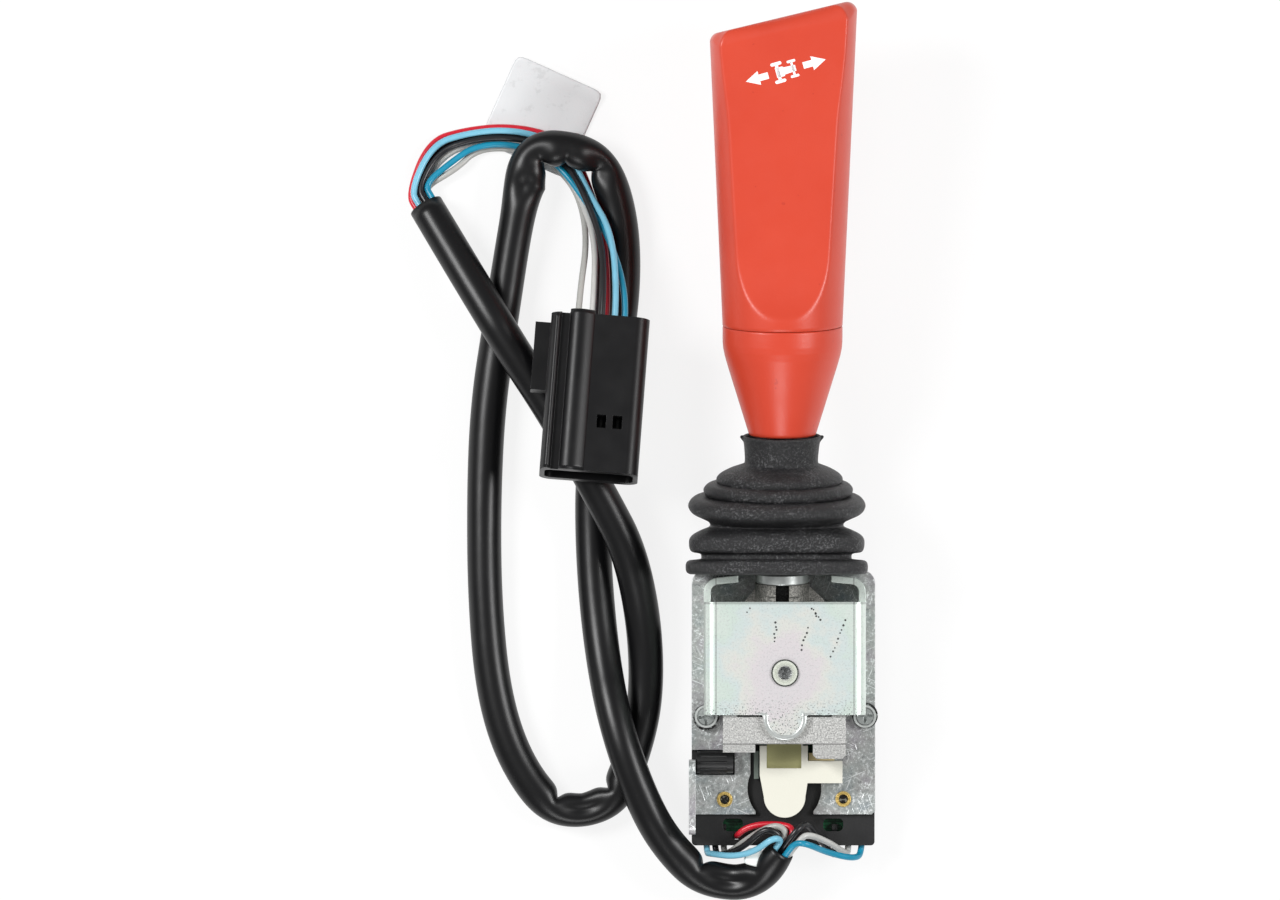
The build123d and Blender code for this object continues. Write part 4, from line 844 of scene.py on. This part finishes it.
# %% Places on a metal face
class Metal(Finish):
    """A finish that can also ask where it is: across and along are x and y in millimetres."""

    round_edge = 0.0003

    def __init__(self, name, **constants):
        super().__init__(name, **constants)
        self.across, self.along = (
            self.node("SeparateXYZ", [self.place], out=k) * 1000.0 for k in (0, 1))

    def size(self, level):
        return self.node("Math", [level], operation="ABSOLUTE")

    def from_point(self, x, y, stretch=1.0):
        """Distance in millimetres from a point on the face."""
        return self.length(self.across - x, (self.along - y) * stretch)

    def length(self, dx, dy):
        """The square root of dx * dx + dy * dy."""
        return self.node("Math", [dx * dx + dy * dy], operation="SQRT")

    def line_at(self, level, half):
        """1 where level is within half of 0, with soft sides."""
        return 1.0 - self.size(level).above(half * 0.5, half)


def scratches(made, share):
    """Thin lines in four directions, from noise drawn out along each of them."""
    total = None
    for k, turn in enumerate([0.35, 1.15, 1.95, 2.75]):
        spot = made.node("Mapping", {
            "Vector": made.place, "Rotation": (0, 0, turn), "Scale": (1, 16, 1),
            "Location": (0.01 * k, 0.02 * k, 0),
        }, vector_type="TEXTURE")
        line = made.node("TexNoise", {"Vector": spot, "Scale": 1500.0, "Detail": 1})
        line = line.above(share, 0.04)
        total = line if total is None else total + line
    return total


print("a metal can ask for", ", ".join(k for k in vars(Metal) if k[0] != "_"))

# %% [markdown]
# The cover's clouds are rings of tint about the bolt, the plate's are free. Both have fine
# spangle; soot gathers low on the cover, and the plate is scratched.

# %% Cover and plate
cover = Metal("bright zinc", Metallic=0.45, IOR=1.6)
spread = cover.from_point(-1.0, -1.0, 0.8) + cover.noise(0.011, 4, 0.6) * 26.0 - 13.0
bands = cover.ramp(spread / 30.0, [
    (0.08, (0.75, 0.72, 0.74)), (0.34, (0.78, 0.73, 0.75)), (0.46, (0.78, 0.79, 0.74)),
    (0.58, (0.69, 0.78, 0.77)), (0.70, (0.68, 0.79, 0.72)), (0.84, (0.73, 0.81, 0.75)),
])
spangle = cover.noise(0.0008, 4, 0.75, seed=4.0)
low_dust = 1.0 - cover.along.above(-14.5, 9.0)
soot = cover.noise(0.0005, 2, 0.4, seed=9.0).above(0.59, 0.05) * (low_dust * 0.7 + 0.14)
frosted = spangle.above(0.46, 0.16) * (low_dust * 0.4 + 0.30)
clean = cover.mix(frosted, bands, (0.50, 0.53, 0.52))
bright = cover.mix(spangle.above(0.58, 0.08) * 0.35, clean, (0.90, 0.93, 0.91))
# Painted shade: a dark line along each side bend and one along the top edge.
painted_bend_shade = cover.line_at(cover.size(cover.across) - 20.7, 0.16) * 0.55
rim = cover.line_at(cover.along - 20.9, 0.3) * 0.4
cover.shades(soot + painted_bend_shade + rim, bright, 0.10)
cover.roughness(spangle * 0.2 + 0.22)
cover.bump(spangle, 0.00003)

plate = Metal("scratched zinc", Metallic=0.55, IOR=1.6)
drift = plate.noise(0.012, 3, 0.6)
tones = plate.ramp(drift, [
    (0.30, (0.32, 0.37, 0.40)), (0.44, (0.42, 0.45, 0.44)), (0.54, (0.47, 0.48, 0.47)),
    (0.66, (0.42, 0.40, 0.43)), (0.76, (0.40, 0.46, 0.44)),
])
flake = plate.noise(0.0011, 6, 0.85, seed=4.0)
pale = plate.mix(flake.above(0.53, 0.08), tones, (0.84, 0.87, 0.87))
darker = plate.mix((1.0 - flake.above(0.36, 0.10)) * 0.6, pale, (0.10, 0.11, 0.12))
marks = scratches(plate, 0.68)
plate.shades(marks * 0.8, darker, (0.85, 0.88, 0.88))
plate.roughness(flake * 0.3 + 0.20)
plate.bump(flake * 0.5 + marks * 0.5, 0.00008)
print("plate nodes", len(plate.tree.nodes))

# %% [markdown]
# A turned head is painted in rings about its own centre: painted shade on the socket's floor,
# the flat, a painted highlight on the edge and painted shade in the gap around it.

# %% Bolt and screw heads
HEAD_R, SOCKET_R = 4.2, 1.9
HEADS_MIDDLE, HEADS_APART = (0.3, -13.3), 47.8
bolt = Metal("bolt zinc", Metallic=0.6, IOR=1.6)
ring_of = bolt.from_point(0.0, 0.0)
# Painted shade in the socket and around the head, painted highlight on its edge.
painted_light_rings = bolt.ramp(ring_of / HEAD_R, [
    (0.0, (0.38, 0.40, 0.40)), (0.47, (0.30, 0.31, 0.31)), (0.52, (0.56, 0.58, 0.52)),
    (0.70, (0.66, 0.70, 0.60)), (0.85, (0.84, 0.87, 0.78)), (0.90, (0.03, 0.04, 0.03)),
])
grit = bolt.noise(0.0004, 4, 0.7)
inner = 1.0 - ring_of.above(SOCKET_R, 0.3)
spotted = bolt.mix((1.0 - grit.above(0.40, 0.1)) * inner * 0.8, painted_light_rings, 0.05)
bolt.shades(grit.above(0.56, 0.08) * (inner * 0.5 + 0.15), spotted, (0.86, 0.88, 0.88))
bolt.roughness(grit * 0.2 + 0.25)
bolt.bump(grit, 0.00006)
dress(cover, "front_bracket")
dress(bolt, "pivot_bolt")
dress(plate, "back_plate", "pivot_washer", "pivot_nut", "rear_screws")

head = Metal("screw zinc", Metallic=0.6, IOR=1.6)
off_x = head.size(head.across - HEADS_MIDDLE[0]) - HEADS_APART / 2
off_y = head.along - HEADS_MIDDLE[1]
# Painted highlight on a ring near each screw head's edge, painted shade in the dark lines inside
# it and around it.
painted_light_rings = head.ramp(head.length(off_x, off_y) / HEAD_R, [
    (0.0, (0.46, 0.49, 0.48)), (0.55, (0.50, 0.53, 0.52)), (0.63, 0.07),
    (0.69, (0.82, 0.86, 0.84)), (0.79, (0.92, 0.95, 0.93)), (0.83, 0.03),
])
shade = head.noise(0.0010, 3, 0.6)
head.shades(shade.above(0.52, 0.1) * 0.5, painted_light_rings, (0.66, 0.70, 0.68))
head.roughness(shade * 0.1 + 0.2)
head.bump(shade, 0.00002)
coined = Finish("coined zinc", Metallic=0.7, IOR=1.6)
cloudy = coined.noise(0.002)
coined.shades(cloudy, (0.46, 0.49, 0.48), (0.76, 0.79, 0.77))
coined.roughness(cloudy * 0.1 + 0.28)
coined.bump(cloudy, 0.00001)
dress(head, "pan_screws")
dress(coined, "stem_cap", "spring_seat")
print("head nodes", len(head.tree.nodes))

# %% [markdown]
# In the portrait a bright grey floor closes each hollow rivet: a thin disc inside its bore.

# %% Floors seen through the hollow rivets
floors = [disc(x, y, 1.3, 24) for x, y in ((-18.0, -38.3), (17.7, -38.2))]
settle(thin_plates("rivet_floors", floors, on_face, 12.6, 12.9), head, "frame", "zinc_plated")

# %% [markdown]
# The tongue's edge is coined: a low rounded rim follows it and runs out along the cover's
# lower edge. Around the bolt, five short rows of tiny pits cross the cover.

# %% Rim and pits
COVER_FACE = 36.0


def rim_surface(height=0.28, half=0.75):
    """A low ridge, cos profile, swept along the tongue's outline in the cover's plane."""
    arc = np.linspace(math.radians(168), math.radians(372), 90)
    path = np.stack([5.75 * np.cos(arc), -13.7 + 5.75 * np.sin(arc)], -1)
    left = np.array([[-10.2, -12.2], [-8.6, -12.15], [-7.2, -12.2], [-6.2, -12.6]])
    right = left[::-1] * np.array([-1, 1])
    path = np.concatenate([left, path, right])
    heading = unit(np.gradient(path, axis=0))
    side = np.stack([-heading[:, 1], heading[:, 0]], -1)
    turn = circle(16)[None]
    fade = np.minimum(1, np.minimum(np.arange(len(path)), np.arange(len(path))[::-1]) / 5)[:, None]
    across = half * np.cos(turn) * (0.2 + 0.8 * fade)
    level = COVER_FACE - 0.05 + height * np.sin(turn) * fade
    x = path[:, :1] + side[:, :1] * across
    y = path[:, 1:] + side[:, 1:] * across
    return capped(np.stack([x, y, level + 0 * x], -1) * MM)


settle(grid_piece("tongue_rim", rim_surface()), coined, "frame", "zinc_plated")
generator = np.random.default_rng(7)
rows = [
    # from, to, number of pits
    ((18.1, 15.8), (13.9, 5.0), 9), ((7.0, 13.6), (4.8, 7.0), 6), ((-2.6, 15.0), (-3.3, 9.5), 6),
    ((8.2, 19.4), (10.5, 16.0), 7), ((-10.5, 19.6), (-11.4, 18.3), 2),
]
pits = []
for start, end, count in rows:
    share = np.linspace(0, 1, count)[:, None]
    spots = np.array(start) * (1 - share) + np.array(end) * share
    spots += generator.normal(0, 0.18, spots.shape)
    pits += [disc(x, y, generator.uniform(0.24, 0.38), 8) for x, y in spots]
soot_black = Finish("soot", Roughness=0.7)
soot_black.shades(soot_black.noise(0.001, 2), 0.02, 0.05)
settle(thin_plates("cover_pits", pits, on_face, COVER_FACE - 0.1, COVER_FACE + 0.01), soot_black,
       "frame", "black_plastic")

# %% [markdown]
# Castings are blasted: a sandy grain of dark and pale. The cast bar has painted shade on its
# lower foot, below a painted dark shade line at the step.

# %% Castings, steel and brass
def casting(name, low, high, metal, rough):
    made = Finish(name, Metallic=metal, IOR=1.6)
    made.round_edge = Metal.round_edge
    sand = made.noise(0.0005, 4, 0.7)
    made.shades(sand.above(0.35, 0.35), low, high)
    made.roughness(sand * 0.2 + rough)
    return made.bump(sand, 0.00010)


for name, low, high, metal, rough, pieces in (
    ("dark casting", (0.07, 0.07, 0.065), (0.36, 0.35, 0.32), 0.5, 0.42, ["lever_carrier"]),
    ("plain steel", 0.24, 0.34, 0.95, 0.3,
     ["detent_plunger", "rod_circlip", "knob_screw", "sensor_magnet"]),
    ("oiled steel", 0.02, 0.05, 0.9, 0.35,
     ["lever_rod", "lift_pin", "lift_spring", "detent_spring", "connector_pins",
      "solder_terminals"]),
    ("rolled brass", (0.62, 0.42, 0.12), (0.80, 0.60, 0.22), 0.95, 0.25,
     ["eyelet_rivets", "pivot_bushes", "knob_insert"]),
):
    dress(casting(name, low, high, metal, rough), *pieces)
BAR_EDGE = -21.35
cast_bar = Metal("cast bar", Metallic=0.5, IOR=1.6)
sand = cast_bar.noise(0.0005, 5, 0.8)
stone = cast_bar.mix(sand.above(0.36, 0.3), (0.21, 0.21, 0.205), (0.66, 0.66, 0.64))
# Painted shade: darker below the step at BAR_EDGE, with a dark line along the step.
lower = cast_bar.along - BAR_EDGE
painted_foot_shade = 1.0 - lower.above(-0.1, 0.2)
painted_step_shade_line = cast_bar.line_at(lower, 0.22) * 0.6
shaded = cast_bar.mix(painted_foot_shade * 0.30, stone, (0.30, 0.30, 0.29))
cast_bar.shades(painted_step_shade_line, shaded, 0.05)
cast_bar.roughness(sand * 0.25 + 0.38)
cast_bar.bump(sand, 0.00010)
dress(cast_bar, "cast_body")
print("cast bar nodes", len(cast_bar.tree.nodes))

# %% [markdown]
# ## Plain plastics
# Small mouldings get the fine texture of their tool and a slightly uneven gloss.

# %% Moulded plastics
def moulded(name, colour, rough, dust, edge=0.0002):
    made = Finish(name, IOR=1.5)
    made.round_edge = edge
    cloud = made.noise(0.006)
    fine = made.noise(0.0005, 3, 0.6)
    pale = tuple(c + dust for c in colour)
    made.shades(fine.above(0.55, 0.2) * cloud.above(0.4, 0.3) * 0.5, colour, pale)
    made.roughness(cloud * 0.16 + rough)
    return made.bump(fine, 0.00005)


for name, colour, rough, dust, pieces in (
    ("housing black", (0.006, 0.006, 0.0065), 0.36, 0.02,
     ["rear_housing", "rear_cover", "latch_roller", "position_sensors"]),
    ("bone white", (0.64, 0.63, 0.55), 0.38, 0.02, ["actuator"]),
    ("olive", (0.30, 0.29, 0.13), 0.45, 0.02, ["actuator_block"]),
    ("grey green", (0.13, 0.16, 0.14), 0.45, 0.03, ["guide_grey"]),
    ("tan", (0.60, 0.50, 0.26), 0.45, 0.03, ["guide_tan"]),
):
    dress(moulded(name, colour, rough, dust), *pieces)
milky = moulded("milky white", (0.78, 0.82, 0.80), 0.30, 0.02)
film = moulded("white film", (0.82, 0.83, 0.83), 0.35, 0.02, 0.0)
connector_black = moulded("connector black", (0.004, 0.004, 0.0045), 0.28, 0.008)
connector_black.shader.inputs["Specular IOR Level"].default_value = 0.32
connector_black.bump(connector_black.noise(0.01, 1), 0.00002)
dress(connector_black, "connector_shell", "connector_insert")

board = Finish("solder mask", IOR=1.5)
track = board.node("TexBrick", {
    "Vector": board.place, "Scale": 260.0, "Mortar Size": 0.03,
    "Color1": 1, "Color2": 0.8, "Mortar": 0,
}, out=1)
board.shades(track, (0.008, 0.16, 0.055), (0.004, 0.07, 0.026))
board.roughness(board.noise(0.004, 2) * 0.2 + 0.25)
board.bump(track * -1.0 + 1.0, 0.00005)
dress(board, "circuit_board")
print("board nodes", len(board.tree.nodes))

# %% [markdown]
# ## Label, tie and the connector's relief
# The label is a square of white film under the wires; its free edge lifts a little.

# %% Label
def label_surface(columns=96):
    """Rings of a rounded square from its middle to its rim and back under itself."""
    angle = circle(columns)
    cos, sin = np.cos(angle), np.sin(angle)
    rim = (np.abs(cos) ** 15 + np.abs(sin) ** 15) ** (-1 / 15)
    share = np.linspace(0, 1, 24)[:, None]
    p = 14.25 * share * rim * cos
    q = 14.2 * share * rim * sin
    lift = 1.5 * smooth_step(6, 15, q) ** 2 + 0.5 * smooth_step(5, 14, p)
    top = np.stack([p, q, 0.25 + lift], -1)
    under = np.stack([p, q, 0.13 + lift], -1)[::-1]
    flat = np.concatenate([top, under])
    x, y = turned(flat[..., 0], flat[..., 1], math.radians(-24.2), (-73.3, 167.5))
    return np.stack([x, y, flat[..., 2]], -1) * MM


label = grid_piece("label_film", label_surface())
film.shades(film.noise(0.004, 4, 0.7, seed=3.0).above(0.56, 0.12) * 0.25,
            (0.63, 0.645, 0.655), (0.36, 0.37, 0.37))
settle(label, film, "frame", "label_white", "wire_label")

# %% [markdown]
# The tie's head peeps out beside the tube's mouth: a small block with soft edges.

# %% Tie head
def block_surface(centre, half, turn, power=5.0):
    """A superellipsoid block: |x|^n + |y|^n + |z|^n = 1, scaled, turned and moved."""
    a = circle(64)[None]
    b = np.linspace(-np.pi / 2, np.pi / 2, 33)[:, None]

    def bent(v):
        return np.sign(v) * np.abs(v) ** (2 / power)

    x = half[0] * bent(np.cos(b)) * bent(np.cos(a))
    y = half[1] * bent(np.cos(b)) * bent(np.sin(a))
    z = half[2] * bent(np.sin(b)) + 0 * a
    return np.stack([*turned(x, y, turn, centre), centre[2] + z], -1) * MM


tie_head = block_surface((-8.5, -55.9, 17.8), (3.5, 2.6, 2.0), math.radians(-14))
settle(grid_piece("tie_head", tie_head), milky, "frame", "tie_white", "cable_tie")

# %% [markdown]
# The connector lies turned and tipped. Its shell carries a rounded ridge and a narrow
# column along its front face, closed underneath so that they sit in the shell.

# %% Connector ridge
TURN, RISE = math.radians(4.4), math.radians(11.5)
plug_x = np.array([math.cos(TURN), -math.sin(TURN), 0])
plug_z = np.array([-math.sin(TURN) * math.cos(RISE), -math.cos(TURN) * math.cos(RISE),
                   math.sin(RISE)])
plug_y = np.cross(plug_z, plug_x)


def on_plug(u, v, a):
    """Connector coordinates to the frame: u across, v out of its front face, a to the mouth."""
    return placed((-55.35, 105.9, 25.0), (plug_x, plug_y, plug_z), u, v, a)


def ridge_surface(left, right, height, start, end, steep=1.0):
    """v = height * sin(pi t^steep) over the strip from left to right, closed underneath."""
    t = np.linspace(0, 1, 30)
    u = np.concatenate([left + (right - left) * t, (left + (right - left) * t)[::-1]])
    v = np.concatenate([8.55 + height * np.sin(np.pi * t**steep) ** 0.8, np.full(30, 7.9)])
    a = np.linspace(start, end, 40)[:, None]
    return capped(on_plug(u[None], v[None], a))


for name, shape in {
    "plug_ridge": ridge_surface(-9.1, -1.6, 1.7, -1.0, 48.0, 0.8),
    "plug_column": ridge_surface(-14.0, -11.7, 0.9, 0.4, 48.0),
}.items():
    settle(grid_piece(name, shape), connector_black, "frame", "connector_black")

# %% [markdown]
# ## Light and ground
# Three soft round lamps and a pale world give the even light of a catalogue portrait.

# %% Lamps
def lamp(name, spot, aim, size, watts):
    light = bpy.data.lights.new(name, "AREA")
    light.shape = "DISK"
    light.size = size
    light.energy = watts
    holder = add(name, light)
    holder.location = spot
    direction = Vector(aim) - Vector(spot)
    holder.rotation_euler = direction.to_track_quat("-Z", "Y").to_euler()


middle = (-0.03, 0.07, 0.02)
for name, spot, watts in (("key", (-0.70, 0.35, 0.90), 11), ("fill", (0.80, 0.15, 0.85), 8.5),
                          ("low", (-0.10, -0.90, 0.80), 4)):
    lamp(name, spot, middle, 0.45, watts)
print("lamps", len(bpy.data.lights))

# %% [markdown]
# The ground is matt paper for shadows and bounced light. To the camera, and in mirror-like
# reflections, most of it glows white.

# %% World and floor
world = bpy.data.worlds.new("studio")
bpy.context.scene.world = world
world.use_nodes = True
sky = world.node_tree.nodes["Background"]
sky.inputs["Color"].default_value = (1, 1, 1, 1)
sky.inputs["Strength"].default_value = 0.27

paper = Finish("white paper", Roughness=0.9).colour(0.9)
rays = [paper.node("LightPath", out=ray) for ray in ("Is Camera Ray", "Is Glossy Ray")]
seen = paper.node("Math", rays, operation="MAXIMUM") * 0.85
glow = paper.node("Emission", {"Strength": 1.0})
both = paper.node("MixShader", [seen, Level(paper, paper.shader.outputs[0]), glow])
paper.put(paper.tree.nodes["Material Output"].inputs["Surface"], both)
floor_mesh = bpy.data.meshes.new("ground")
floor_mesh.from_pydata([(-3, -3, 0), (3, -3, 0), (3, 3, 0), (-3, 3, 0)], [], [(0, 1, 2, 3)])
floor_mesh.materials.append(paper.material)
floor = add("ground", floor_mesh)
floor.location.z = -0.0002
print("sky", round(sky.inputs["Strength"].default_value, 2))

# %% [markdown]
